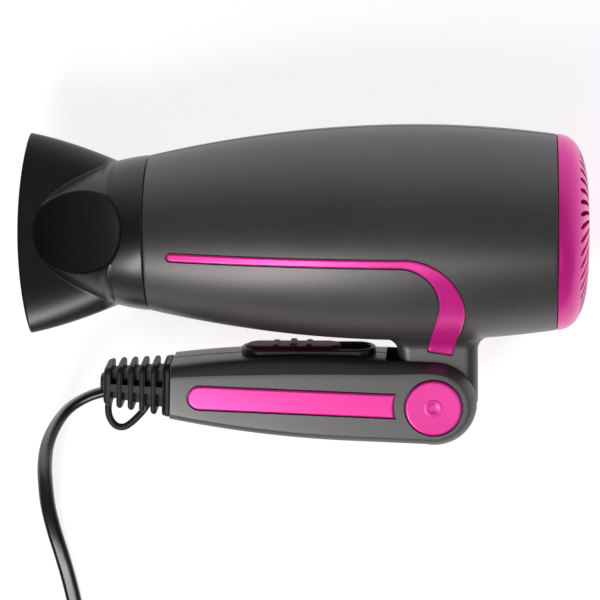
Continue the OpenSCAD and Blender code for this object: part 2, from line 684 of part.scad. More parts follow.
module cord_tie() color([0.15, 0.15, 0.15]) translate([coil_at[0], coil_at[1], 0])
    rotate([0, 0, 35]) translate([coil_r, 5, coil_lift + coil_h / 2]) rotate([90, 0, 0])
        linear_extrude(10) difference() {
            round_rect(2 * coil_half + 1.6, coil_h + 1.6, 2);
            round_rect(2 * coil_half, coil_h, 1.8);
        }

module plug_relief() color([0.06, 0.06, 0.06]) translate(plug_at) along_x() {
    cylinder(h = 22, r1 = 4.2, r2 = 6.2, $fn = 48);
    for (k = [0 : 4]) translate([0, 0, 2 + k * 4]) cylinder(h = 2, r = 6, $fn = 48);
}

module plug_body() color([0.05, 0.05, 0.05]) translate(plug_at + [22, 0, 0]) {
    translate([0.1, 0, 0]) rotate([90, 0, 90]) linear_extrude(31.9) round_rect(35, 26, 11);
}

module plug_pins() color("silver") translate(plug_at + [54, 0, 0]) for (s = [-1, 1])
    translate([0.05, s * pin_pitch / 2, 0]) along_x() {
        cylinder(h = pin_len - 1.5, r = plug_pin_r, $fn = 40);
        translate([0, 0, pin_len - 2.4]) sphere(r = plug_pin_r, $fn = 40);
    }

barrel_shell(1);  // barrel_shell_left
barrel_shell(-1);  // barrel_shell_right
barrel_stripe(1);  // barrel_stripe_left
barrel_stripe(-1);  // barrel_stripe_right
outlet_collar();
outlet_grille();
mica_sleeve();
mica_board_upright();
mica_board_level();
heater_coils();
thermostat();
thermal_fuse();
fan_duct();
motor_can();
motor_magnets();
motor_end_cap();
diode_board();
intake_mesh();
rear_cap();
barrel_screws();
hinge_bush();
fan_impeller();
motor_shaft();
motor_armature();
concentrator_nozzle();
handle_shell(1);  // handle_shell_left
handle_shell(-1);  // handle_shell_right
handle_stripe(1);  // handle_stripe_left
handle_stripe(-1);  // handle_stripe_right
hinge_cap(1);  // hinge_cap_left
hinge_cap(-1);  // hinge_cap_right
hinge_bolt();
hinge_nut();
hinge_washer();
switch_bezel();
switch_body();
handle_screws();
cord_clamp();
clamp_screws();
handle_leads();
strain_relief();
switch_slider();
cord_lead();
cord_coil();
cord_tail();
cord_tie();
plug_body();
plug_relief();
plug_pins();
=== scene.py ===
import math

import bmesh
import bpy
import numpy as np
from mathutils import Matrix, Vector
from mathutils.geometry import delaunay_2d_cdt


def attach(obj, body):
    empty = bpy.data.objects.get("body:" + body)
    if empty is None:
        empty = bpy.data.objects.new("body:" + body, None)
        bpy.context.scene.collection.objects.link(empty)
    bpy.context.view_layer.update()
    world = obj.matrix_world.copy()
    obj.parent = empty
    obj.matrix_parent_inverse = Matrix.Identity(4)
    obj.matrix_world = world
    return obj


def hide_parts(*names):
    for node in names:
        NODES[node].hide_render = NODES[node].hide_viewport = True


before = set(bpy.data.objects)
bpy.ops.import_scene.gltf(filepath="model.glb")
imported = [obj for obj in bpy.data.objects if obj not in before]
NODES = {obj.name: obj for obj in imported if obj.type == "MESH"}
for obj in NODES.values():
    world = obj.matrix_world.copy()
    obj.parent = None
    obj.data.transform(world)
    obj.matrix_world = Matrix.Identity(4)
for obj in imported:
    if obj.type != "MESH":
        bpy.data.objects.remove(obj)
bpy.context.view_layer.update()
SCENE = bpy.context.scene
MM = 0.001

# -------------------- sizes, in mm, close to part.scad's
# barrel: largest radius, its fall to each end, wall, ends, axis, widest place and seams
BARREL_R, FRONT_DROP, REAR_DROP, WALL = 39.1, 10.9, 3.7, 2.2
FRONT_X, REAR_X = -103.5, 103.5
AXIS = np.array([0, 19.6, 39.1])
BELLY_X, SEAM_F, SEAM_R = 40, -55.3, 91.8
# rear cap: power of its superellipse, where that starts, and its radius
CAP_N, CAP_X0, CAP_R = 3.3, 88, 35.6
# hinge, and the neck that carries the barrel on it
HINGE = np.array([47.5, -42.4, 39.1])
NECK_X0, NECK_X1, NECK_Z, TONGUE_R, NECK_CORNER = 34.4, 63.5, 9.5, 15.6, 4.5
NECK_Y = HINGE[1] - AXIS[1]
FILLET, BUSH_R, BOLT_R = 4.5, 5, 3.02
# nozzle: slot lip, waist, wall, spigot, start of the cone between them, and its turn at rest
LIP_HALF, LIP_T, LIP_X, PINCH_X, PINCH_R, NOZZLE_WALL, SPIGOT_R = 36.6, 6.5, -99.5, -67.2, 26.2, 1.6, 25
CONE_X = -98.8
NOZZLE_TURN = math.radians(-14)
# the dished oval: where its face starts, and its rise, slope and curve; its widest place and half sizes
FACET_X, FACET_RISE, FACET_SLOPE, FACET_CURVE = -97, 0.3, 0.329, 0.008
OVAL_X, OVAL_FORE, OVAL_AFT, OVAL_HALF = -78, 19.8, 16, 16.5
# handle: half width at the hinge and the cord end, half thickness, length, start of its taper, tilt
HANDLE_R, HANDLE_TIP, HANDLE_Z, HANDLE_LEN, TAPER_X = 16.1, 10.7, 15, 96.5, -30
# how much further in its lower edge lies, and by how much the face's lower and upper edge are drawn
# in, with what is added to the upper one around the middle of its length
LOW_SIDE, FACE_LOW, FACE_HIGH, FACE_MORE, FACE_MID, FACE_SPAN = 0.5, 0.6, 0.4, 1.8, -50, 46
SLOPE = math.radians(-2.45)
FORK_X, FORK_Z, DISC_R, GROOVE = -18.1, 9.8, 10.3, 0.45
HSTRIPE_X0, HSTRIPE_X1, HSTRIPE_HALF = -89.5, -14.6, 4.4
# screws of the right-hand shells: their places in x and y, and the counterbore's radius
BARREL_SCREWS = ((-28, 30), (-28, -30), (28, 33), (68, 33.1))
HANDLE_SCREWS = ((-66, -8), (-30, -8))
SCREW_R = 2.7
# switch
BEZEL_X0, BEZEL_X1, BEZEL_TOP, BEZEL_HALF = -23.05, 26.35, -22.9, 7
SLIDER_X0, SLIDER_LEN, SLIDER_TOP, SLIDER_HALF = -21.1, 34.4, -22, 4.9
# strain relief: block, its ribs and how far it leans over its length
RELIEF_LEN, RELIEF_Y0, RELIEF_Y1, RELIEF_Z = 24.8, 7.2, 10.2, 8.7
RELIEF_RIBS, RELIEF_PITCH, RELIEF_SLOT, RELIEF_LEAN = 5, 4.2, 2.2, 0.6
LOOP_D = 2.6
LOOP_ROUTE = [(-119.6, -5.6), (-120.2, -9.5), (-119.5, -13.4), (-117.3, -16.2), (-114.4, -16.6),
              (-111.8, -15), (-109.3, -12.5), (-107.2, -10), (-105.4, -7.2)]
# cord: section, coil of two layers, given routes to it and on to the plug
CORD_W, CORD_T = 5.8, 3.8
COIL_AT = (-50, -186)
COIL_R, COIL_HALF, COIL_LIFT, COIL_H, COIL_Z = 33.75, 11.15, 0.8, 11.9, 2.75
LEAD_ROUTE = [(-71, -39.7, 39), (-80, -42.5, 38.5), (-88, -48, 35.5), (-94, -56, 30),
              (-98.5, -65.5, 23.5), (-101, -75.5, 16.5), (-102, -85.5, 10.5), (-102, -96, 6),
              (-100.5, -106.5, 3.2), (-98, -117, 2), (-95.5, -127.5, 1.9), (-93.5, -138, 1.9),
              (-92.3, -149, 2), (-92, -160, 2.3), (-92, -171, 2.8)]
TAIL_ROUTE = [(-50, -223.5, 10.5), (-41, -223.4, 10.5), (-32, -222.6, 10.5), (-23, -220.2, 10.6),
              (-14, -216.6, 11), (-6, -213.2, 11.7), (2, -210.8, 12.6), (10, -210, 13)]
PLUG_AT = np.array([8, -210, 13])


# -------------------- camera

def make_camera():
    """A long lens, its distance in metres, at the photograph's viewing angle."""
    aim = Vector((-1.3, -5.7, 39.1)) * MM
    distance, lens, sensor = 1.09, 179.2, 36
    back = Vector((0.065, 0.242, 0.968)).normalized()
    right = (Vector((1, 0, 0)) - back * back.x).normalized()
    up = back.cross(right)
    data = bpy.data.cameras.new("camera")
    data.sensor_width = sensor
    data.lens = lens
    data.clip_start, data.clip_end = 0.05, 20
    cam = bpy.data.objects.new("camera", data)
    SCENE.collection.objects.link(cam)
    turn = Matrix((right, up, back)).transposed().to_4x4()
    cam.matrix_world = Matrix.Translation(aim + back * distance) @ turn
    SCENE.camera = cam


make_camera()


# -------------------- materials

def linear(rgb):
    return tuple((c / 12.92 if c <= 0.04045 else ((c + 0.055) / 1.055) ** 2.4) for c in rgb) + (1,)


def remap(tree, value, x0, x1, y0=0.0, y1=1.0, curve="LINEAR"):
    """Value taken from the range x0 to x1 to the range y0 to y1, as a new node's output."""
    n = tree.nodes.new("ShaderNodeMapRange")
    n.interpolation_type = curve
    tree.links.new(value, n.inputs["Value"])
    for name, end in zip(("From Min", "From Max", "To Min", "To Max"), (x0, x1, y0, y1)):
        n.inputs[name].default_value = end
    return n.outputs["Result"]


def material(name, dark, light, rough, metallic=0.0, grain=1500, bump=0.1, patch=22, coat=0.0,
             coat_rough=0.1, specular=0.5, fleck=None, wear=0.0, bands=None):
    """A procedural finish: two tones mixed by grain and large soft patches, with its own
    roughness and bump. fleck adds a metallic flake; bands adds fine lines along an axis."""
    mat = bpy.data.materials.new("finish_" + name)
    mat.use_nodes = True
    tree = mat.node_tree
    shader = tree.nodes["Principled BSDF"]

    def node(kind, **values):
        n = tree.nodes.new(kind)
        for key, value in values.items():
            if key in n.inputs:
                n.inputs[key].default_value = value
            else:
                setattr(n, key, value)
        return n

    def mixed(share, base, other):
        """The output base turned towards the colour other by a share."""
        n = node("ShaderNodeMix", data_type="RGBA")
        n.inputs[7].default_value = linear(other)
        tree.links.new(share, n.inputs[0])
        if isinstance(base, bpy.types.NodeSocket):
            tree.links.new(base, n.inputs[6])
        else:
            n.inputs[6].default_value = linear(base)
        return n.outputs[2]

    coords = node("ShaderNodeTexCoord").outputs["Object"]
    fine = node("ShaderNodeTexNoise", Scale=grain, Detail=3.0, Roughness=0.6)
    soft = node("ShaderNodeTexNoise", Scale=patch, Detail=4.0, Roughness=0.55)
    for tex in (fine, soft):
        tree.links.new(coords, tex.inputs["Vector"])
    blend = node("ShaderNodeMath", operation="MULTIPLY_ADD")
    tree.links.new(fine.outputs["Fac"], blend.inputs[0])
    blend.inputs[1].default_value = 0.55
    tree.links.new(soft.outputs["Fac"], blend.inputs[2])
    colour = mixed(remap(tree, blend.outputs[0], 0.5, 1.05), dark, light)
    if fleck:
        scale, strength, tone = fleck
        cells = node("ShaderNodeTexVoronoi", Scale=scale)
        tree.links.new(coords, cells.inputs["Vector"])
        pick = node("ShaderNodeSeparateColor")
        tree.links.new(cells.outputs["Color"], pick.inputs[0])
        colour = mixed(remap(tree, pick.outputs[0], 0.72, 1, 0, strength), colour, tone)
    if wear:
        edges = node("ShaderNodeNewGeometry").outputs["Pointiness"]
        rubbed = [min(1, c * 1.5 + 0.08) for c in light]
        colour = mixed(remap(tree, edges, 0.53, 0.62, 0, wear), colour, rubbed)
    tree.links.new(colour, shader.inputs["Base Color"])
    tree.links.new(remap(tree, soft.outputs["Fac"], 0.3, 0.7, *rough), shader.inputs["Roughness"])
    height = fine.outputs["Fac"]
    if bands:
        stretch = node("ShaderNodeMapping")
        stretch.inputs["Scale"].default_value = bands[1]
        tree.links.new(coords, stretch.inputs["Vector"])
        lines = node("ShaderNodeTexNoise", Scale=bands[0], Detail=2.0)
        tree.links.new(stretch.outputs["Vector"], lines.inputs["Vector"])
        height = lines.outputs["Fac"]
    relief = node("ShaderNodeBump", Strength=bump, Distance=0.0002)
    tree.links.new(height, relief.inputs["Height"])
    tree.links.new(relief.outputs["Normal"], shader.inputs["Normal"])
    shader.inputs["Metallic"].default_value = metallic
    shader.inputs["Specular IOR Level"].default_value = specular
    shader.inputs["Coat Weight"].default_value = coat
    shader.inputs["Coat Roughness"].default_value = coat_rough
    return mat


# name: dark tone, light tone, roughness from and to, metallic, grain, bump, and what else it has
FINISHES = {
    "shell_grey": ((0.35, 0.345, 0.35), (0.39, 0.385, 0.39), (0.40, 0.47), 0.7, 3600, 0.03,
        dict(coat=0.12, coat_rough=0.3, fleck=(9000, 0.22, (0.55, 0.545, 0.54)))),
    "accent_pink": ((0.94, 0.11, 0.62), (1.0, 0.15, 0.70), (0.30, 0.38), 0.3, 3600, 0.03,
        dict(coat=0.25, coat_rough=0.2, fleck=(9000, 0.2, (1.0, 0.42, 0.78)))),
    "slider_plum": ((0.36, 0.08, 0.20), (0.42, 0.11, 0.25), (0.45, 0.55), 0.1, 2600, 0.06,
        dict(specular=0.2, fleck=(9000, 0.2, (0.6, 0.25, 0.42)))),
    "black_plastic": ((0.075, 0.08, 0.09), (0.10, 0.105, 0.115), (0.32, 0.42), 0, 2400, 0.08,
        dict(specular=0.5, coat=0.1, coat_rough=0.3)),
    "dark_nozzle": ((0.07, 0.075, 0.088), (0.092, 0.098, 0.11), (0.30, 0.38), 0, 2600, 0.07,
        dict(specular=0.55, coat=0.15, coat_rough=0.28)),
    # nozzle_gloss: polished, and its tone darker than dark_nozzle is painted shade standing in for the dark
    # reflection in the dished ovals
    "nozzle_gloss": ((0.03, 0.034, 0.042), (0.045, 0.05, 0.06), (0.16, 0.22), 0, 2600, 0.03,
        dict(specular=0.45, coat=0.3, coat_rough=0.14)),
    "soft_black": ((0.095, 0.095, 0.10), (0.13, 0.13, 0.135), (0.44, 0.56), 0, 1900, 0.14,
        dict(specular=0.4)),
    "cord_black": ((0.03, 0.03, 0.034), (0.05, 0.05, 0.055), (0.20, 0.30), 0, 900, 0.06,
        dict(specular=0.55, bands=(700, (1, 0.15, 1)))),
    "tie_black": ((0.10, 0.10, 0.105), (0.16, 0.16, 0.165), (0.7, 0.85), 0, 2600, 0.6,
        dict(bands=(1600, (1, 0.2, 1)))),
    "mica": ((0.66, 0.58, 0.42), (0.80, 0.73, 0.57), (0.35, 0.6), 0, 420, 0.2, dict(patch=60)),
    "heater_wire": ((0.36, 0.33, 0.32), (0.55, 0.50, 0.46), (0.3, 0.5), 0.9, 1300, 0.2, {}),
    "steel": ((0.55, 0.55, 0.56), (0.70, 0.70, 0.70), (0.22, 0.36), 1.0, 700, 0.12,
        dict(bands=(500, (1, 8, 8)), wear=0.4)),
    "brass": ((0.62, 0.48, 0.24), (0.78, 0.63, 0.36), (0.24, 0.4), 1.0, 900, 0.12, {}),
    "nickel": ((0.68, 0.67, 0.64), (0.80, 0.79, 0.76), (0.14, 0.24), 1.0, 800, 0.06,
        dict(bands=(900, (0.1, 1, 1)), wear=0.3)),
    "magnet": ((0.13, 0.13, 0.14), (0.20, 0.20, 0.21), (0.55, 0.75), 0.2, 700, 0.35, {}),
    "white_plastic": ((0.78, 0.77, 0.72), (0.88, 0.87, 0.83), (0.38, 0.5), 0, 1500, 0.12, {}),
    "circuit_board": ((0.05, 0.22, 0.12), (0.09, 0.32, 0.17), (0.3, 0.5), 0, 500, 0.2,
        dict(fleck=(900, 0.8, (0.62, 0.55, 0.32)))),
    "mesh_grey": ((0.20, 0.20, 0.21), (0.28, 0.28, 0.29), (0.4, 0.55), 0, 1500, 0.15, {}),
    "copper": ((0.55, 0.27, 0.15), (0.75, 0.42, 0.26), (0.25, 0.45), 0.9, 600, 0.35,
        dict(bands=(1500, (6, 1, 1)))),
    "lead_insulation": ((0.55, 0.06, 0.06), (0.68, 0.10, 0.09), (0.35, 0.5), 0, 1200, 0.1, {}),
}
FINISH = {name: material(name, *values, **extra) for name, (*values, extra) in FINISHES.items()}
for cad_node in NODES.values():
    for holder in cad_node.material_slots:
        holder.material = FINISH[holder.material.name.split(".")[0]]


# -------------------- mesh tools

def smooth_max(a, b, k):
    """The larger of a and b, rounded over where they differ by less than k."""
    h = np.clip(0.5 + (a - b) / (2 * k), 0, 1)
    return b + (a - b) * h + k * h * (1 - h)


def smooth_min(a, b, k):
    return -smooth_max(-np.asarray(a), -np.asarray(b), k)


def step_between(t, a, b):
    """0 up to a, 1 from b on, and an S curve between them."""
    t = np.clip((t - a) / (b - a), 0, 1)
    return t * t * (3 - 2 * t)


def grid(points, wrap_u=False, wrap_v=False):
    """Quads over a rows x columns array of points."""
    points = np.asarray(points, float)
    nu, nv = points.shape[:2]
    faces = []
    for i in range(nu if wrap_u else nu - 1):
        a, b = i * nv, ((i + 1) % nu) * nv
        for j in range(nv if wrap_v else nv - 1):
            k = (j + 1) % nv
            faces.append((a + j, b + j, b + k, a + k))
    return points.reshape(-1, 3), faces


def capped(rings):
    """A closed solid from a stack of closed rings, with a flat face at each end."""
    verts, faces = grid(rings, wrap_v=True)
    n, last = len(rings[0]), len(verts) - len(rings[0])
    faces.append(tuple(range(n)))
    faces.append(tuple(range(last + n - 1, last - 1, -1)))
    return verts, faces


def join(*parts):
    """Several (verts, faces) shapes as one."""
    verts, faces, start = [], [], 0
    for v, f in parts:
        verts.append(np.asarray(v, float))
        faces += [tuple(i + start for i in face) for face in f]
        start += len(v)
    return np.concatenate(verts), faces


def lathe(profile, n=160):
    """A solid of revolution about X from a closed ring of (x, r) points."""
    angle = np.linspace(0, 2 * math.pi, n, endpoint=False)
    p = np.asarray(profile, float)
    pts = [np.repeat(p[:, :1], n, 1), p[:, 1:2] * np.cos(angle), p[:, 1:2] * np.sin(angle)]
    return grid(np.stack(pts, -1), True, True)


def catmull(points, step):
    """A smooth curve through points, sampled about every step mm."""
    p = np.asarray(points, float)
    p = np.vstack([2 * p[0] - p[1], p, 2 * p[-1] - p[-2]])
    out = []
    for i in range(1, len(p) - 2):
        n = max(2, int(round(np.linalg.norm(p[i + 1] - p[i]) / step)))
        t = np.arange(n)[:, None] / n
        out.append(0.5 * (2 * p[i] + (p[i + 1] - p[i - 1]) * t
                          + (2 * p[i - 1] - 5 * p[i] + 4 * p[i + 1] - p[i + 2]) * t ** 2
                          + (3 * p[i] - p[i - 1] - 3 * p[i + 1] + p[i + 2]) * t ** 3))
    return np.vstack(out + [p[-2:-1]])


def tube(path, section, roll=None):
    """A capped tube: section (n x 2, sideways and upwards) carried along path and rolled by degrees."""
    path = np.asarray(path, float)
    tangent = np.gradient(path, axis=0)
    tangent /= np.linalg.norm(tangent, axis=1)[:, None]
    side = np.cross([0, 0, 1], tangent)
    side /= np.linalg.norm(side, axis=1)[:, None]
    up = np.cross(tangent, side)
    a = np.radians(np.zeros(len(path)) if roll is None else roll)[:, None, None]
    q, v = section[None, :, :1], section[None, :, 1:]
    rings = (path[:, None] + side[:, None] * (q * np.cos(a) - v * np.sin(a))
             + up[:, None] * (q * np.sin(a) + v * np.cos(a)))
    return capped(rings)


def oval(width, height, n=24, power=2.5):
    """Points of a superellipse; a power of 2 gives an ellipse."""
    t = np.arange(n) / n * 2 * math.pi
    c, s = np.cos(t), np.sin(t)
    return np.stack([width / 2 * np.sign(c) * abs(c) ** (2 / power),
                     height / 2 * np.sign(s) * abs(s) ** (2 / power)], -1)


def rounded_rect(w, h, r, n=8, along=6):
    """Half sizes w and h, corner r: points anticlockwise, with some along the straight sides."""
    pts = []
    corners = [(w - r, h - r, 0), (-w + r, h - r, 90), (-w + r, -h + r, 180), (w - r, -h + r, 270)]
    for k, (cx, cy, start) in enumerate(corners):
        for i in range(n + 1):
            a = math.radians(start + 90 * i / n)
            pts.append((cx + r * math.cos(a), cy + r * math.sin(a)))
        nx, ny, s = corners[(k + 1) % 4]
        a = math.radians(start + 90)
        p0, p1 = np.array(pts[-1]), np.array([nx + r * math.cos(a), ny + r * math.sin(a)])
        pts += [tuple(p0 + (p1 - p0) * i / (along + 1)) for i in range(1, along + 1)]
    return np.array(pts)


def thing(name, shape, finish, body=None, nodes=(), sharp=35, place=None):
    """A mesh object from (verts, faces) in mm, with its finish, the body it rides on and the
    CAD nodes it replaces. Without a finish it is a blank for carve."""
    verts, faces = shape
    verts = np.asarray(verts, float)
    if place is not None:
        verts = place(verts)
    mesh = bpy.data.meshes.new(name)
    mesh.from_pydata((verts * MM).tolist(), [], faces)
    bm = bmesh.new()
    bm.from_mesh(mesh)
    bmesh.ops.remove_doubles(bm, verts=bm.verts, dist=2e-7)
    bmesh.ops.recalc_face_normals(bm, faces=bm.faces)
    bm.to_mesh(mesh)
    bm.free()
    ob = bpy.data.objects.new(name + "_detail", mesh)
    SCENE.collection.objects.link(ob)
    if finish:
        finished(ob, finish, body, nodes, sharp)
    return ob


def finished(ob, finish, body, nodes=(), sharp=35):
    """Gives ob its finish and shading, sets it on its body and says which CAD nodes it replaces."""
    ob.data.materials.clear()
    ob.data.materials.append(FINISH[finish])
    ob.data.polygons.foreach_set("material_index", [0] * len(ob.data.polygons))
    ob.data.polygons.foreach_set("use_smooth", [True] * len(ob.data.polygons))
    ob.data.set_sharp_from_angle(angle=math.radians(sharp))
    weighted = ob.modifiers.new("normals", "WEIGHTED_NORMAL")
    weighted.keep_sharp = True
    weighted.weight = 60
    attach(ob, body)
    if nodes:
        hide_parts(*nodes)


def part(name, shape, finish, body, sharp, place=None):
    """A piece that stands for the CAD node of its own name, with the given finish."""
    ob = thing(name, shape, finish, body, [name], sharp, place)
    return ob


def carve(ob, shape, operation="DIFFERENCE", place=None):
    """Boolean of ob with a (verts, faces) shape, applied."""
    cutter = thing("cutter", shape, None, place=place)
    step = ob.modifiers.new("carve", "BOOLEAN")
    step.operation, step.solver, step.object = operation, "MANIFOLD", cutter
    bpy.context.view_layer.update()
    result = bpy.data.meshes.new_from_object(ob.evaluated_get(bpy.context.evaluated_depsgraph_get()))
    if not result.polygons:
        raise RuntimeError("empty boolean: " + ob.name)
    ob.modifiers.clear()
    ob.data = result
    bpy.data.objects.remove(cutter)


def prism(outline, z0, z1):
    """An upright solid over an outline of the plan."""
    return capped([[(x, y, z) for x, y in outline] for z in (z0, z1)])


def block(x0, x1, y0, y1, z0, z1):
    return prism([(x0, y0), (x1, y0), (x1, y1), (x0, y1)], z0, z1)


def disc(cx, cy, r, z0, z1, n=96):
    a = np.arange(n) / n * 2 * math.pi
    return prism(np.stack([cx + r * np.cos(a), cy + r * np.sin(a)], -1), z0, z1)


def flip_z(shape):
    return shape[0] * [1, 1, -1], shape[1]


def barrel_place(v):
    return v + AXIS


def turned(v, angle, a=0, b=1):
    """Points turned by an angle from axis a towards axis b."""
    c, s = math.cos(angle), math.sin(angle)
    out = np.array(v, float)
    out[:, a], out[:, b] = v[:, a] * c - v[:, b] * s, v[:, a] * s + v[:, b] * c
    return out


def handle_place(v):
    return turned(v, SLOPE) + HINGE


def inset_outline(outline, d):
    """The closed outline moved inwards by d along its own normals (anticlockwise points)."""
    p = np.asarray(outline, float)
    e = np.roll(p, -1, 0) - p
    n = np.stack([-e[:, 1], e[:, 0]], -1) / np.linalg.norm(e, axis=1)[:, None]
    m = n + np.roll(n, 1, 0)
    m /= np.maximum((m * n).sum(1), 0.35)[:, None]
    return p + m * d


def inside_test(outline):
    """A test of whether a point is inside the closed outline and clear of it by a distance."""
    a = np.asarray(outline, float)
    b = np.roll(a, -1, 0)
    e = b - a
    rise = np.where(e[:, 1] == 0, 1e-9, e[:, 1])

    def deep(x, y, clear):
        hit = (a[:, 1] > y) != (b[:, 1] > y)
        cross = e[:, 0] * (y - a[:, 1]) / rise + a[:, 0]
        if (hit & (x < cross)).sum() % 2 == 0:
            return False
        along = (x - a[:, 0]) * e[:, 0] + (y - a[:, 1]) * e[:, 1]
        t = np.clip(along / np.maximum((e ** 2).sum(1), 1e-12), 0, 1)
        return np.hypot(a[:, 0] + t * e[:, 0] - x, a[:, 1] + t * e[:, 1] - y).min() > clear
    return deep


def filled(outline, insets, spacing):
    """Triangles over an outline: its rings at each inset, then a grid inside. Gives the points,
    their depth from the edge, the triangles and the points of the outermost ring."""
    rings = [np.asarray(outline, float)] + [inset_outline(outline, d) for d in insets]
    n = len(outline)
    lo, hi = rings[0].min(0), rings[0].max(0)
    deep_inside = inside_test(rings[-1])
    inside = []
    for j, y in enumerate(np.arange(lo[1] + spacing / 3, hi[1], spacing * 0.87)):
        for x in np.arange(lo[0] + (spacing / 2 if j % 2 else 0), hi[0], spacing):
            if deep_inside(x, y, spacing * 0.45):
                inside.append((x, y))
    pts = np.vstack(rings + [np.array(inside)])
    depth = np.concatenate([np.full(n, d) for d in [0] + insets] + [np.full(len(inside), insets[-1])])
    edges = [(r * n + i, r * n + (i + 1) % n) for r in range(len(rings)) for i in range(n)]
    out, _, tris, origin, _, _ = delaunay_2d_cdt([Vector(p) for p in pts], edges, [], 1, 1e-6)
    xy = np.array([tuple(v) for v in out])
    deep = np.array([depth[o[0]] if o else insets[-1] for o in origin])
    where = {o: i for i, group in enumerate(origin) for o in group}
    return xy, deep, [tuple(t) for t in tris], [where[i] for i in range(n)]


def plate(outline, insets, spacing, top, bottom):
    """A closed solid over an outline, between top(x, y, depth) and bottom(x, y)."""
    xy, deep, tris, rim = filled(outline, insets, spacing)
    n = len(xy)
    high = [(x, y, top(x, y, d)) for (x, y), d in zip(xy, deep)]
    low = [(x, y, bottom(x, y)) for x, y in xy]
    faces = tris + [tuple(i + n for i in t[::-1]) for t in tris]
    for a, b in zip(rim, rim[1:] + rim[:1]):
        faces.append((a, a + n, b + n, b))
    return np.array(high + low), faces


# -------------------- cord, coil, tie and plug

def coil_path():
    """A flat spiral inwards, a second one outwards on top of it, and a start on a third layer.
    It starts and turns at these angles in degrees, and comes a pitch closer on each turn."""
    start, turn_in, turn_out, end, step = 180, 1170, 2160, 2430, 4.5
    outer_r, pitch = 42, 6
    t = np.arange(start, end + 0.1, step)
    inwards = (np.minimum(t, turn_in) - start - np.clip(t - turn_in, 0, turn_out - turn_in)
               + np.clip(t - turn_out, 0, end - turn_out))
    r = outer_r - pitch * inwards / 360
    z = COIL_Z + 3.9 * step_between(t, 1110, 1230) + 3.85 * step_between(t, 2100, 2210)
    a = np.radians(t)
    return np.stack([COIL_AT[0] + r * np.cos(a), COIL_AT[1] + r * np.sin(a), z], -1)


def make_cord():
    """The whole cord on its centreline, on edge at the handle and lying flat soon after."""
    lead = catmull(LEAD_ROUTE + [(-92, -186, COIL_Z)], 1.6)
    coil = coil_path()
    tail = catmull(TAIL_ROUTE, 2.2)
    path = np.vstack([lead[:-1], coil[:-1], tail])
    run = np.concatenate([[0], np.cumsum(np.linalg.norm(np.diff(path, axis=0), axis=1))])
    roll = 90 * (1 - step_between(run, 6, 80))
    section = oval(CORD_W, CORD_T, 24, 2.6)
    waist, waist_w = 0.07, 0.9
    section[:, 1] *= 1 - waist * np.exp(-(section[:, 0] / waist_w) ** 2)
    ob = thing("cord", tube(path, section, roll), "cord_black", "handle",
               ["cord_lead", "cord_coil", "cord_tail"], 60)
    return ob, path, run[-1]


def make_tie():
    """A strap around the coil, thin at its two edges, with a buckle on top."""
    def ring(grow, w):
        base = rounded_rect(COIL_HALF + grow, COIL_H / 2 + grow, 2.2 + grow)
        return [(COIL_R + x, w, COIL_LIFT + COIL_H / 2 + z) for x, z in base]
    edge = [(0.1, 5), (0.55, 5), (0.78, 4.7), (0.8, 4.3), (0.8, 2.5)]
    rows = [ring(grow, w) for grow, w in [(g, -w) for g, w in edge] + [(0.8, 0)] + edge[::-1]]
    shape = grid(rows, wrap_u=True, wrap_v=True)
    buckle = capped([[(COIL_R + x, y, COIL_LIFT + COIL_H + z) for x, y in rounded_rect(w, h, 1)]
                     for w, h, z in ((3.6, 5.6, 0.2), (3.6, 5.6, 0.9), (3.1, 5.1, 1.4))])
    return part("cord_tie", join(shape, buckle), "tie_black", "handle", 40,
                lambda v: turned(v, math.radians(35)) + [*COIL_AT, 0])


def make_plug():
    """The moulded plug with finger ribs, and the ringed sleeve where the cord goes in."""
    def place(v):
        return v + PLUG_AT
    sleeve, ribs = 22, 5
    rings = []
    for x, grow in ((0.1, -1.6), (0.5, -0.7), (1.3, 0), (5, 0), (9, -0.5), (12, -0.9), (17, -0.9), (21, -0.4),
                    (25, 0), (30.6, 0), (31.6, -0.5), (31.99, -1.2)):
        dip = -0.35 if x in (9, 17) else 0
        section = rounded_rect(17.5 + grow + dip, 13 + grow + dip, 10.8 + grow, 12, 4)
        rings.append([(sleeve + x, y, z) for y, z in section])
    grip = []
    for side in (-1, 1):
        for k in range(ribs):
            x = sleeve + 8.5 + k * 2.6
            rib = rounded_rect(0.55, 6.5, 0.5, 4, 1)
            grip.append(capped([[(x + a, b, side * z) for a, b in rib] for z in (11, 12.55, 12.7)]))
    body = part("plug_body", join(capped(rings), *grip), "cord_black", "handle", 40, place)
    profile = [(0.02, 0.0), (0.02, 3.6), (0.5, 4.2)]
    for k in range(ribs):
        x = 2 + k * 4
        core = 4.2 + 2 * x / sleeve
        profile += [(x - 0.05, core), (x + 0.15, 5.8), (x + 0.4, 6.0), (x + 1.6, 6.0), (x + 1.85, 5.8),
                    (x + 2.05, core + 0.2)]
    profile += [(21.98, 6.2), (21.98, 0.0)]
    relief = part("plug_relief", lathe(profile, 64), "cord_black", "handle", 40, place)
    return [body, relief, NODES["plug_pins"]]


cord, cord_line, cord_length = make_cord()
tie = make_tie()
plug = make_plug()


# -------------------- barrel

def barrel_at(x):
    x = np.asarray(x, float)
    return np.where(x < BELLY_X, BARREL_R - FRONT_DROP * ((BELLY_X - x) / (BELLY_X - SEAM_F)) ** 2,
                    BARREL_R - REAR_DROP * ((x - BELLY_X) / (SEAM_R - BELLY_X)) ** 2)


def under_barrel(x, z):
    """y of the barrel's surface below the axis."""
    return -np.sqrt(np.maximum(barrel_at(x) ** 2 - np.asarray(z) ** 2, 1))


def fillet_drop(s):
    """How far the neck's fillet still hangs below the barrel, s outwards from the neck."""
    return FILLET - np.sqrt(np.maximum(FILLET ** 2 - (FILLET - s) ** 2, 0))


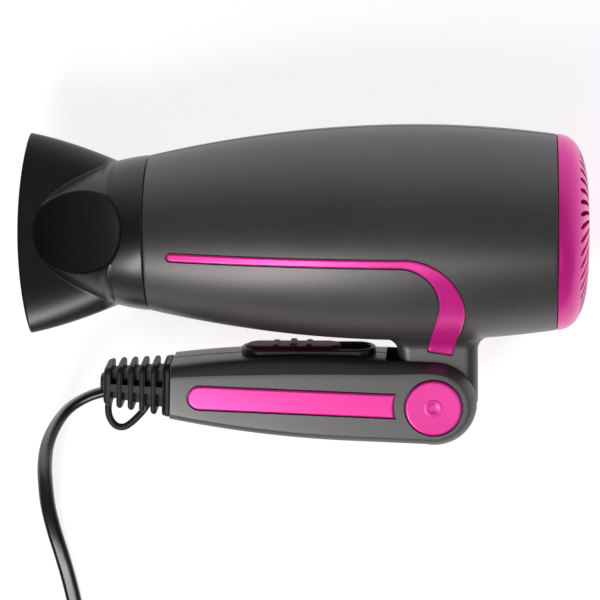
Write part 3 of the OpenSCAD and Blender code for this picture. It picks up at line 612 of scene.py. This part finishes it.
def side_z(x, y):
    """Height of the barrel and neck surface over a point of the plan, relative to the axis."""
    r = float(barrel_at(x))
    if y > -30:
        return math.sqrt(r * r - y * y)
    s = np.linspace(0, FILLET, 16)
    z = NECK_Z + s
    at = under_barrel(x, z) - fillet_drop(s)
    if y >= at[-1]:
        return math.sqrt(max(r * r - y * y, 1))
    return float(np.interp(y, at, z))


def barrel_solid():
    """The hollow barrel with a fine V at the seam between its two halves, and eased end rims."""
    half = np.concatenate([[0, 0.3, 0.6, 0.95], np.arange(1.5, 178.6, 1.5), [179.05, 179.4, 179.7]])
    angle = np.radians(np.concatenate([half, half + 180]))
    off = np.degrees(np.abs((angle + math.pi / 2) % math.pi - math.pi / 2))
    dip = 0.6 * np.clip(1 - off / 0.95, 0, 1)
    xs = np.concatenate([[SEAM_F, SEAM_F + 0.12, SEAM_F + 0.35], np.linspace(SEAM_F + 1, SEAM_R - 1, 150),
                         [SEAM_R - 0.35, SEAM_R - 0.12, SEAM_R]])
    ease = np.zeros(len(xs))
    ease[[0, 1, -2, -1]] = [0.35, 0.12, 0.12, 0.35]
    outer = (barrel_at(xs) - ease)[:, None] - dip
    xi = np.linspace(SEAM_R, SEAM_F, 24)
    inner = np.repeat((barrel_at(xi) - WALL)[:, None], len(angle), 1)
    r, x = np.vstack([outer, inner]), np.concatenate([xs, xi])[:, None]
    return grid(np.stack([np.repeat(x, len(angle), 1), r * np.cos(angle), r * np.sin(angle)], -1), True, True)


def neck_solid():
    """The neck's column, flared into the barrel by a fillet."""
    cx, w = (NECK_X0 + NECK_X1) / 2, (NECK_X1 - NECK_X0) / 2
    base = rounded_rect(w, NECK_Z, NECK_CORNER, 10, 22)
    out = rounded_rect(w + 1, NECK_Z + 1, NECK_CORNER + 1, 10, 22) - base
    out /= np.linalg.norm(out, axis=1)[:, None]
    rings = []
    top = under_barrel(cx + base[:, 0], base[:, 1]) - FILLET + 0.06
    for f in (0, 0.3, 0.55, 0.75, 0.9):
        rings.append(np.stack([cx + base[:, 0], NECK_Y + (top - NECK_Y) * f, base[:, 1]], -1))
    for s in np.linspace(0, 1, 14) ** 1.6 * FILLET:
        p = base + out * s
        y = under_barrel(cx + p[:, 0], p[:, 1]) - fillet_drop(s) + 0.06
        rings.append(np.stack([cx + p[:, 0], y, p[:, 1]], -1))
    for f in (0.93, 0.7, 0.45, 0.2, 0.04):
        p = (base + out * FILLET) * f
        rings.append(np.stack([cx + p[:, 0], under_barrel(cx + p[:, 0], p[:, 1]) + 1.2, p[:, 1]], -1))
    return capped(rings)


def tongue_solid():
    """The round end of the neck, between the handle's two shells."""
    a = np.arange(120) / 120 * 2 * math.pi
    edge, r, z = 0.5, TONGUE_R, NECK_Z
    return capped([[(HINGE[0] + q * math.cos(t), NECK_Y + q * math.sin(t), h) for t in a]
                   for q, h in ((r - edge, -z), (r, -z + edge), (r, z - edge), (r - edge, z))])


def stripe_outline(grow=0.0):
    """Plan of the stripe, anticlockwise, relative to the barrel axis: bar, elbow and leg."""
    x0, bar_len, half = -46.7, 82, 1.48

    def bar_y(x):
        return -2.3 - 0.6 * (x - x0) / bar_len
    left = [(x0 + half + half * math.cos(a), bar_y(-45) + half * math.sin(a))
            for a in np.radians(np.linspace(95, 265, 12))]
    below = [(x, bar_y(x) - half) for x in np.arange(-43.6, 33, 1.2)]
    inner = [(35.8 + 14.4 * math.cos(a), -18.9 + 14.5 * math.sin(a))
             for a in np.radians(np.linspace(88, 0, 26))]
    inner_leg = catmull([(50.3, -19.9), (49.6, -23), (48.2, -29), (46.9, -35), (45.6, -41.3)], 0.9)
    foot = [(45.55, -41.8), (45.8, -42.15), (49.5, -42.75), (53.4, -43.35), (54.2, -43.3), (54.55, -42.85)]
    outer_leg = catmull([(54.8, -42.0), (56.5, -35.5), (58, -29.8), (58.9, -25.5), (59.1, -23.3)], 0.9)
    outer = [(37.1 + 22 * math.cos(a), -22.9 + 21.6 * math.sin(a))
             for a in np.radians(np.linspace(2, 88, 38))]
    above = [(x, bar_y(x) + half) for x in np.arange(35.4, -43.6, -1.2)]
    pts = np.vstack([left, below, inner, inner_leg, foot, outer_leg, outer, above])
    return inset_outline(pts, -grow) if grow else pts


def barrel_parts():
    """The barrel with its neck, split at the seam into two shells, and the stripe let into each."""
    whole = thing("barrel_whole", barrel_solid(), None)
    for solid in (neck_solid(), tongue_solid()):
        carve(whole, solid, "UNION")
    carve(whole, disc(HINGE[0], NECK_Y, BUSH_R, -20, 20, 64))
    recess = plate(stripe_outline(GROOVE), [0.4], 1.6,
                   lambda x, y, d: side_z(x, y) + 2.5, lambda x, y: side_z(x, y) - 0.65)
    for cut in (recess, flip_z(recess)):
        carve(whole, cut)
    whole.data.transform(Matrix.Translation(Vector(AXIS) * MM))
    mid = AXIS[2]
    shells = []
    for name, z0, z1 in (("left", mid + 0.02, 120), ("right", -40, mid - 0.02)):
        ob = bpy.data.objects.new("barrel_shell_" + name + "_detail", whole.data.copy())
        SCENE.collection.objects.link(ob)
        carve(ob, block(-150, 150, -120, 120, z0, z1), "INTERSECT")
        shells.append(ob)
    bpy.data.objects.remove(whole)
    for x, y in BARREL_SCREWS:
        carve(shells[1], disc(x, y, SCREW_R, -40, -7, 48), place=barrel_place)
    for name, ob in zip(("left", "right"), shells):
        finished(ob, "shell_grey", "barrel", ["barrel_shell_" + name], 38)
    inlay = plate(stripe_outline(), [0.1, 0.25, 0.5, 0.8], 1.5,
                  lambda x, y, d: side_z(x, y) + 0.12 - 0.42 * max(0, 1 - d / 0.5) ** 2,
                  lambda x, y: side_z(x, y) - 0.6)
    for name, shape in (("left", inlay), ("right", flip_z(inlay))):
        part("barrel_stripe_" + name, shape, "accent_pink", "barrel", 50, barrel_place)


barrel_parts()


# -------------------- rear cap

def rear_cap():
    """Superellipse of revolution, with two rings of swept slots cut through it."""
    def edge(inset, n):
        a = np.radians(np.linspace(90, 0, n))
        return [(CAP_X0 + (REAR_X - CAP_X0 - inset) * max(math.cos(t), 0) ** (2 / CAP_N),
                 (CAP_R - inset) * math.sin(t) ** (2 / CAP_N)) for t in a]
    wall = 2
    outer = [p for p in edge(0, 90) if p[0] > SEAM_R + 0.5 and p[1] > 0.4]
    inner = [p for p in edge(wall, 40) if p[0] > SEAM_R + 2.3 and p[1] > 0.4]
    rim = np.interp(SEAM_R + 0.15, [CAP_X0, outer[0][0]], [CAP_R, outer[0][1]])
    bore = 30.9
    profile = [(SEAM_R + 0.15, bore), (SEAM_R + 0.15, rim - 0.4), (SEAM_R + 0.27, rim - 0.14),
               (SEAM_R + 0.5, rim)]
    profile += outer + [(REAR_X, 0.2), (REAR_X - wall, 0.2)] + inner[::-1]
    profile += [(SEAM_R + 2.1, 33.3), (SEAM_R + 2.1, bore)]
    ob = thing("rear_cap", lathe(profile, 256), None, place=barrel_place)
    cutters = []
    for count, r0, r1, sweep, half in ((40, 15, 30.5, 12, 1.05), (16, 5, 13, 20, 0.95)):
        s = np.linspace(0, 1, 12)
        r = r0 + (r1 - r0) * s
        ends = half * r / r1 * np.sqrt(np.clip(1 - np.abs(2 * s - 1) ** 14, 0.05, 1))
        for k in range(count):
            turn = math.radians(360 * k / count)
            a = turn + np.radians(sweep) * s
            fore = [(q * math.cos(t + h / q), q * math.sin(t + h / q)) for q, t, h in zip(r, a, ends)]
            aft = [(q * math.cos(t - h / q), q * math.sin(t - h / q)) for q, t, h in zip(r, a, ends)]
            ring = fore + aft[::-1]
            cutters.append(capped([[(x, y, z) for y, z in ring] for x in (94.4, 108)]))
    carve(ob, join(*cutters), place=barrel_place)
    finished(ob, "accent_pink", "barrel", ["rear_cap"], 38)


rear_cap()


# -------------------- nozzle

def nozzle():
    """A round cone that flattens into a flared slot, with a dished oval on each side."""
    def facet_at(x):
        d = np.maximum(x - FACET_X, 0)
        return LIP_T + FACET_RISE + FACET_SLOPE * d + FACET_CURVE * d ** 2

    def plan_half(x):
        t = np.clip((PINCH_X - x) / (PINCH_X - LIP_X), 0, 1)
        u = np.clip((SEAM_F - x) / (SEAM_F - PINCH_X), 0, 1)
        # from the waist to the seam, up to 0.4 mm slimmer in plan than part.scad's
        return np.where(x < PINCH_X, PINCH_R + (LIP_HALF - PINCH_R) * t * (1.4 - 0.4 * t),
                        PINCH_R + (float(barrel_at(SEAM_F)) - PINCH_R) * (1 - u ** 1.5))

    def body(inset, stations):
        """Rings from the lip, at station 0, over the waist to the seam, at 1."""
        rows = []
        for u in stations:
            v, w = u / waist, (u - waist) / (1 - waist)
            before_waist = u < waist
            xn = LIP_X + (PINCH_X - LIP_X) * v if before_waist else PINCH_X + (SEAM_F - 0.15 - PINCH_X) * w
            half = float(plan_half(xn))
            y = half * np.cos(a)
            lip = FRONT_X + (LIP_X - FRONT_X) * (y / LIP_HALF) ** 2
            x = lip * (1 - v) + PINCH_X * v if before_waist else np.full(n, xn)
            facet = facet_at(x)
            # the flare, a slab that thickens towards the waist
            slab = LIP_T + 2.5 * np.clip((x - FRONT_X) / (PINCH_X - FRONT_X), 0, 1)
            flare = slab * np.sqrt(1 - np.abs(np.cos(a)) ** 4.5)
            # the cone that rises out of it, cut by the oval's face
            t = np.clip((x - CONE_X) / (PINCH_X - CONE_X), 1e-6, 1)
            w_cone = np.where(x > PINCH_X, half, PINCH_R * t ** 0.36)
            top = np.where(x > PINCH_X, half, slab + (PINCH_R - slab) * t ** 0.8)
            cone = top * np.sqrt(np.clip(1 - (y / w_cone) ** 2, 0, 1))
            cone = smooth_min(cone, facet, 0.3) - 1.6 * (1 - step_between(x, CONE_X - 1, CONE_X + 4))
            # both run into the round base over the waist
            before = smooth_max(flare, cone, 0.9)
            after = smooth_min(half * np.abs(np.sin(a)), facet, 0.3)
            blend = step_between(x, PINCH_X - 5, PINCH_X + 2.5)
            z = before * (1 - blend) + np.maximum(after, before * (1 - blend)) * blend
            z = np.sign(np.sin(a)) * np.maximum(z - inset, 0.6)
            rows.append(np.stack([x, y * (1 - inset / half), z], -1))
        return np.array(rows)

    n, waist = 260, 0.78
    a = (np.arange(n) + 0.5) / n * 2 * math.pi
    a = a + 0.16 * np.sin(2 * a)
    outer = body(0, [0.018, *np.linspace(0.03, 0.985, 170), 0.992])
    inner = body(NOZZLE_WALL, np.linspace(0.96, 0.018, 60))
    lip_out, lip_mid = body(0.28, [0.004]), body(NOZZLE_WALL / 2, [0.0])
    lip_in = body(NOZZLE_WALL - 0.3, [0.004])
    end = body(0.35, [1.0])
    web = end.copy()
    web[..., 1:] *= 24 / np.hypot(web[..., 1], web[..., 2])[..., None]
    hidden = web.copy()
    hidden[..., 0] = inner[0, 0, 0] + 0.6
    skin = grid(np.vstack([lip_mid, lip_out, outer, end, web, hidden, inner, lip_in]), True, True)
    bore = 23.5
    spigot = lathe([(SEAM_F - 1, bore), (SEAM_F - 1, 24.6), (SEAM_F - 0.6, SPIGOT_R),
                    (SEAM_F + 7.2, SPIGOT_R), (SEAM_F + 8, SPIGOT_R - 0.7), (SEAM_F + 8, bore)], 160)
    ob = part("concentrator_nozzle", join(skin, spigot), "dark_nozzle", "nozzle", 34,
              lambda v: barrel_place(turned(v, NOZZLE_TURN, 1, 2)))
    # the dished ovals are polished, and their darker tone is painted shade standing in for the dark
    # reflection they show
    centre = np.zeros(len(ob.data.polygons) * 3)
    ob.data.polygons.foreach_get("center", centre)
    x, y, z = turned(centre.reshape(-1, 3) / MM - AXIS, -NOZZLE_TURN, 1, 2).T
    in_plan = ((x - OVAL_X) / np.where(x < OVAL_X, OVAL_FORE, OVAL_AFT)) ** 2 + (y / OVAL_HALF) ** 2 < 1
    above = np.abs(z) - facet_at(x)
    ob.data.materials.append(FINISH["nozzle_gloss"])
    oval_gloss_and_painted_shade = in_plan & (above > -0.33) & (above < 0.3)
    ob.data.polygons.foreach_set("material_index", oval_gloss_and_painted_shade.astype(int).tolist())


nozzle()


# -------------------- handle

def handle_half(x):
    taper = ((TAPER_X - x) / (HANDLE_LEN + TAPER_X)) ** 2
    return np.where(x < TAPER_X, HANDLE_R - (HANDLE_R - HANDLE_TIP) * taper, HANDLE_R)


def handle_outline(inset, draw=0.0, f=0.0):
    """Anticlockwise: lower edge, round hinge end, upper edge, cord end. draw moves it further
    inwards, though hardly at the cord end, and f is the share of the face's own draw."""
    d = inset + draw
    rc = max(0.9 - d, 0.3)
    x0 = -HANDLE_LEN + inset + 0.2 * draw
    xs = np.linspace(x0 + rc, 0, 72)
    low_h = handle_half(xs) - d - LOW_SIDE - FACE_LOW * f
    middle = np.maximum(0, 1 - ((xs - FACE_MID) / FACE_SPAN) ** 2)
    high_h = handle_half(xs) - d - f * (FACE_HIGH + FACE_MORE * middle)
    low = np.stack([xs, -low_h], -1)
    a = np.radians(np.linspace(-90, 90, 62)[1:-1])
    r = HANDLE_R - d - 0.5 * f - LOW_SIDE * np.maximum(0, -np.sin(a))
    end = np.stack([r * np.cos(a), r * np.sin(a)], -1)
    high = np.stack([xs[::-1], high_h[::-1]], -1)
    top, foot = high_h[0] - rc, low_h[0] - rc
    corner = np.radians(np.linspace(90, 180, 8)[1:])
    up = np.stack([x0 + rc + rc * np.cos(corner), top + rc * np.sin(corner)], -1)
    side = np.stack([np.full(9, x0), np.linspace(top, -foot, 11)[1:-1]], -1)
    down = np.stack([x0 + rc + rc * np.cos(corner[::-1]), -foot - rc * np.sin(corner[::-1])], -1)
    return np.vstack([low, end, high, up, side, down])


def handle_crown(p):
    """The face's faint crown, and how far it falls from the middle line."""
    h = handle_half(p[:, 0])
    return -0.3 * np.clip(np.abs(p[:, 1]) / h, 0, 1) ** 2


# how far the side is drawn in at each height, and the face's own share of it
SIDE_DRAW = ((4, 6, 7.5, 8.8, 10, 11, 12, 12.8, 13.6, 14.3, 15),
             (0, 0.04, 0.12, 0.25, 0.45, 0.72, 1.1, 1.5, 1.95, 2.45, 3))
SIDE_SHARE = ((10.5, 12, 12.8, 13.6, 14.3, 15), (0, 0.1, 0.23, 0.42, 0.68, 1))


def handle_shell_solid():
    """Half of the handle: straight sides, a round band, a crisp edge and a nearly flat face."""
    rings = []
    for z, inset in ((0.02, 0.32), (0.3, 0.04), (0.6, 0), (2, 0)):
        p = handle_outline(inset)
        rings.append(np.c_[p, np.full(len(p), z)])
    for z in SIDE_DRAW[0][:-1] + (HANDLE_Z - 0.12,):
        draw = np.interp(z, *SIDE_DRAW)
        f = np.interp(z, *SIDE_SHARE)
        p = handle_outline(0, draw, f)
        rings.append(np.c_[p, z + handle_crown(p) * (z / HANDLE_Z) ** 4])
    rim = handle_outline(0.14, 3, 1)
    mid = np.stack([np.clip(rim[:, 0], -86, 0), np.zeros(len(rim))], -1)
    for t in (0, 0.2, 0.4, 0.6, 0.8, 1):
        p = rim * (1 - t) + mid * t
        rings.append(np.c_[p, HANDLE_Z + handle_crown(p)])
    verts, faces = grid(rings, wrap_v=True)
    faces.append(tuple(range(len(rim))))
    return verts, faces


def handle_stripe_outline(grow=0.0):
    """The handle's stripe, round at the cord end and hollowed around the hinge cap."""
    h = HSTRIPE_HALF + grow
    cx = HSTRIPE_X0 + HSTRIPE_HALF
    r = -HSTRIPE_X1 - grow
    left = [(cx + h * math.cos(a), h * math.sin(a)) for a in np.radians(np.linspace(90, 270, 28))]
    xr = -math.sqrt(r * r - h * h)
    low = [(x, -h) for x in np.linspace(cx, xr, 44)[1:-1]]
    t = math.asin(h / r)
    right = [(-r * math.cos(a), r * math.sin(a)) for a in np.linspace(-t, t, 14)]
    high = [(x, h) for x in np.linspace(xr, cx, 44)[1:-1]]
    return np.array(left + low + right + high)


def stadium(x0, x1, r, n=20, along=14):
    """A long oval with round ends of radius r."""
    a = np.radians(np.linspace(-90, 90, n))
    right = np.stack([x1 - r + r * np.cos(a), r * np.sin(a)], -1)
    left = np.stack([x0 + r - r * np.cos(a), -r * np.sin(a)], -1)
    xs = np.linspace(x1 - r, x0 + r, along + 2)[1:-1]
    return np.vstack([right, np.c_[xs, np.full(along, r)], left, np.c_[xs[::-1], np.full(along, -r)]])


def upright(outline, heights):
    """Rings of a plan in X and Z at world heights y, for the switch. outline is a function of the inset."""
    return [[(x, y, HINGE[2] + z) for x, z in outline(i)] for i, y in heights]


def from_world(v):
    """World points in the handle's own axes."""
    return turned(np.asarray(v, float) - HINGE, -SLOPE)


def handle_parts():
    """Both shells with their cutouts, and the stripe and hinge cap of each side."""
    cavity = []
    for z, inset in ((-1, WALL), (9.2, WALL), (11.2, WALL + 0.9), (12.4, WALL + 2.4), (12.75, WALL + 4)):
        xs = np.linspace(-HANDLE_LEN + inset, FORK_X - WALL, 40)
        h = handle_half(xs) - inset
        cavity.append(np.c_[np.vstack([np.c_[xs, -h], np.c_[xs[::-1], h[::-1]]]), np.full(80, z)])
    window = capped(upright(lambda i: stadium(BEZEL_X0 + i, BEZEL_X1 - i, 5.7), ((1.4, -36), (1.4, -18))))
    seat = capped(upright(lambda i: stadium(BEZEL_X0 - i, BEZEL_X1 + i, BEZEL_HALF + i),
                          ((0.1, -25.45), (0.1, -18))))
    for side, name in ((1, "left"), (-1, "right")):
        def sided(shape):
            return flip_z(shape) if side < 0 else shape
        ob = thing("handle_shell_" + name, sided(handle_shell_solid()), None)
        cuts = [capped(cavity), block(FORK_X, 40, -30, 30, -1, FORK_Z), block(-99, -93.5, -6, 6, -1, 8),
                disc(0, 0, DISC_R + GROOVE, 12.75, 18, 120), disc(0, 0, BOLT_R, 5, 14, 48),
                prism(handle_stripe_outline(GROOVE), HANDLE_Z - 0.9, 18)]
        for cut in cuts:
            carve(ob, sided(cut))
        for cut in (window, seat):
            carve(ob, (from_world(cut[0]), cut[1]))
        if side < 0:
            for x, y in HANDLE_SCREWS:
                carve(ob, disc(x, y, SCREW_R, -17, -10, 48))
        ob.data.transform(Matrix.Translation(Vector(HINGE) * MM) @ Matrix.Rotation(SLOPE, 4, "Z"))
        finished(ob, "shell_grey", "handle", ["handle_shell_" + name], 38)

        def top(x, y, d):
            return HANDLE_Z + 0.1 - 0.3 * (y / HANDLE_R) ** 2 - 0.4 * max(0, 1 - d / 0.5) ** 2
        inlay = plate(handle_stripe_outline(), [0.1, 0.25, 0.5, 0.9], 1.6, top, lambda x, y: HANDLE_Z - 0.85)
        part("handle_stripe_" + name, sided(inlay), "accent_pink", "handle", 50, handle_place)
        profile = [(12.9, 0.0), (12.9, DISC_R - 0.25), (14.7, DISC_R), (15.0, DISC_R - 0.06),
                   (15.25, DISC_R - 0.22), (15.4, DISC_R - 0.5), (15.45, DISC_R - 0.9), (15.4, 8.6),
                   (15.34, 6), (15.3, 3.5), (15.3, 3.2), (15.32, 3.1), (15.35, 2.95), (15.36, 2.6),
                   (15.35, 2.25), (15.32, 2.1), (15.29, 2.0), (15.29, 0.0)]
        v, f = lathe(profile, 128)
        v = np.stack([v[:, 1], v[:, 2], v[:, 0] * side], -1)
        part("hinge_cap_" + name, (v, f), "accent_pink", "handle", 50, handle_place)


handle_parts()


# -------------------- switch

def switch():
    """The bezel with its sunk floor, and the slider with three finger ribs."""
    def frame_ring(i):
        return stadium(BEZEL_X0 + i, BEZEL_X1 - i, BEZEL_HALF - i, 24, 20)
    rows = upright(frame_ring, ((1.6, -25.4), (0.0, -25.4), (0, -23.6), (0.12, -23.25), (0.35, -23.0),
                                (0.65, BEZEL_TOP), (1.15, BEZEL_TOP), (1.4, -23.0), (1.58, -23.2),
                                (1.72, -23.6), (1.8, -25.0), (1.8, -25.4)))
    bezel_ring = grid(np.array(rows), True, True)
    floor = capped(upright(frame_ring, ((1.9, -29.5), (1.6, -29.2), (1.6, -25.3))))
    part("switch_bezel", join(bezel_ring, floor), "black_plastic", "handle", 40)

    def slide_ring(i):
        return stadium(SLIDER_X0 + i, SLIDER_X0 + SLIDER_LEN - i, SLIDER_HALF - i, 22, 20)
    parts = [capped(upright(slide_ring, ((0.3, -25.1), (0, -24.8), (0, -22.75), (0.12, -22.4), (0.4, -22.12),
                                         (0.8, SLIDER_TOP), (2.6, SLIDER_TOP + 0.02))))]
    for x, tall in ((-10.2, 0.55), (-3.9, 1.0), (1.9, 0.65)):
        rib = []
        for i, y in ((0, -0.4), (0.05, tall - 0.5), (0.2, tall - 0.25), (0.5, tall - 0.07), (0.85, tall)):
            rib.append([(x + a, SLIDER_TOP + y, HINGE[2] + b)
                        for a, b in rounded_rect(1.25 - i, 4.3 - i, 0.4 - i / 4, 4, 2)])
        parts.append(capped(rib))
    part("switch_slider", join(*parts), "slider_plum", "slider", 40)


switch()


# -------------------- strain relief

def strain_relief():
    """A ribbed block with a spine on each face, a collar at the handle and a hanging loop."""
    end = -HANDLE_LEN - RELIEF_LEN

    def half_y(x):
        return RELIEF_Y1 + (RELIEF_Y0 - RELIEF_Y1) * (-HANDLE_LEN - x) / RELIEF_LEN

    def lean_at(x):
        return RELIEF_LEAN * (-HANDLE_LEN - x) / RELIEF_LEN
    stations = [(end + 0.1, 1.5), (end + 0.25, 0.9), (end + 0.7, 0.45), (end + 1.4, 0.25),
                (end + 2.2, 0.1), (end + 2.7, 0.35)]
    for k in range(RELIEF_RIBS):
        g = end + 5 + RELIEF_PITCH * k
        stations += [(g + 0.1, 0.35), (g + 0.5, 0.05), (g + 1, -0.1), (g + 1.5, 0.05), (g + 1.9, 0.35)]
    stations = stations[:-1] + [(-98.3, 0.1), (-97.8, 0.0), (-97.0, 0.0), (-96.75, 0.2), (-96.6, 0.5)]
    rings = []
    for x, ease in stations:
        h, w = half_y(x) - ease, RELIEF_Z - ease
        rings.append([(x, y * h + lean_at(x), z * w) for y, z in rounded_rect(1, 1, 0.3, 7, 14)])
    body = thing("relief_block", capped(rings), None)
    # slots beside the spines, then the deeper ones at the sides; out is past the block's surface
    spine_y, spine_z, core_z, out, out_z = 1.35, 4.6, 5.5, 14, 11
    faces, sides = [], []
    for k in range(RELIEF_RIBS):
        x0 = end + 2.8 + RELIEF_PITCH * k
        x1, lean = x0 + RELIEF_SLOT, lean_at(x0)
        core = half_y(x0) - 2.6
        for z0, z1 in ((spine_z, out_z), (-out_z, -spine_z)):
            faces += [block(x0, x1, -out, lean - spine_y, z0, z1), block(x0, x1, lean + spine_y, out, z0, z1)]
        sides += [block(x0, x1, -out, lean - core, -core_z, core_z),
                  block(x0, x1, lean + core, out, -core_z, core_z)]
    x0, x1 = -98.75, -98.35
    faces += [block(x0, x1, -out, -7.5, -out_z, out_z), block(x0, x1, 7.5, out, -out_z, out_z),
              block(x0, x1, -7.4, 7.4, 7.2, out_z), block(x0, x1, -7.4, 7.4, -out_z, -7.2)]
    for cut in (faces, sides):
        carve(body, join(*cut))
    points = np.zeros(len(body.data.vertices) * 3)
    body.data.vertices.foreach_get("co", points)
    ribbed = (points.reshape(-1, 3) / MM, [tuple(face.vertices) for face in body.data.polygons])
    bpy.data.objects.remove(body)
    neck = block(-96.7, -93.6, -5.8, 5.8, -7.8, 7.8)
    foot = block(-93.9, -91.7, -7, 7, -9, 9)
    loop = tube(catmull([(x, y, 0) for x, y in LOOP_ROUTE], 0.8), oval(LOOP_D, LOOP_D, 18, 2))
    boss = capped([[(x, y + 0.6, z) for y, z in rounded_rect(a, b, 2, 8, 3)] for x, a, b in
                   ((end - 1.6, 2.3, 3.0), (end - 1.5, 2.8, 3.4), (end + 0.3, 3.2, 3.8))])
    part("strain_relief", join(ribbed, neck, foot, loop, boss), "soft_black", "handle", 40, handle_place)


strain_relief()


# -------------------- stage and light

def strip(name, at, to, along, size, power, colour=(1, 1, 1)):
    """A rectangular softbox at a place, facing a point, its long side along a direction."""
    data = bpy.data.lights.new(name, "AREA")
    data.shape, data.size, data.size_y, data.energy, data.color = "RECTANGLE", size[0], size[1], power, colour
    ob = bpy.data.objects.new(name, data)
    SCENE.collection.objects.link(ob)
    back = (Vector(at) - Vector(to)).normalized()
    up = back.cross(Vector(along)).normalized()
    turn = Matrix((up.cross(back), up, back)).transposed().to_4x4()
    ob.matrix_world = Matrix.Translation(at) @ turn


def stage():
    """A plain pale floor, a world that is bright at the horizon only, and two softboxes."""
    across = np.linspace(-6, 6, 9)
    v, f = grid([[(x, y, -0.00015) for y in across] for x in across])
    mesh = bpy.data.meshes.new("floor")
    mesh.from_pydata(v.tolist(), [], f)
    ob = bpy.data.objects.new("floor", mesh)
    SCENE.collection.objects.link(ob)
    mat = bpy.data.materials.new("pale_floor")
    mat.use_nodes = True
    shader = mat.node_tree.nodes["Principled BSDF"]
    shader.inputs["Base Color"].default_value = (0.34, 0.34, 0.35, 1)
    shader.inputs["Roughness"].default_value = 0.7
    shader.inputs["Emission Color"].default_value = (0.99, 0.985, 1.0, 1)
    shader.inputs["Emission Strength"].default_value = 0.845
    mesh.materials.append(mat)
    world = bpy.data.worlds.new("studio")
    world.use_nodes = True
    tree = world.node_tree
    back = tree.nodes["Background"]
    coords = tree.nodes.new("ShaderNodeTexCoord")
    split = tree.nodes.new("ShaderNodeSeparateXYZ")
    tree.links.new(coords.outputs["Generated"], split.inputs[0])

    def ramp(axis, *ends):
        return remap(tree, split.outputs[axis], *ends, curve="SMOOTHSTEP")

    def product(a, b):
        n = tree.nodes.new("ShaderNodeMath")
        n.operation = "MULTIPLY"
        tree.links.new(a, n.inputs[0])
        tree.links.new(b, n.inputs[1])
        return n.outputs[0]
    # pale at the horizon beyond the barrel, dark overhead, in front and beyond the nozzle
    glow = product(product(ramp("Z", 0.0, 0.95, 0.85, 0.10), ramp("Y", -0.4, 0.25, 0.35, 1)),
                   ramp("X", -0.75, -0.15, 0.25, 1))
    tree.links.new(glow, back.inputs["Color"])
    SCENE.world = world
    # one long softbox from low at the front left to high over the handle, and a weak one on the right
    strip("key", (-0.23, -0.36, 0.62), (-0.03, -0.01, 0.06), (-0.27, -0.31, -0.28), (0.40, 0.17), 2.8,
          (1, 0.97, 0.94))
    strip("fill", (0.16, -0.28, 0.85), (0.06, 0.0, 0.06), (1, 0, 0), (0.3, 0.2), 0.5)
    SCENE.view_settings.view_transform = "Standard"


stage()
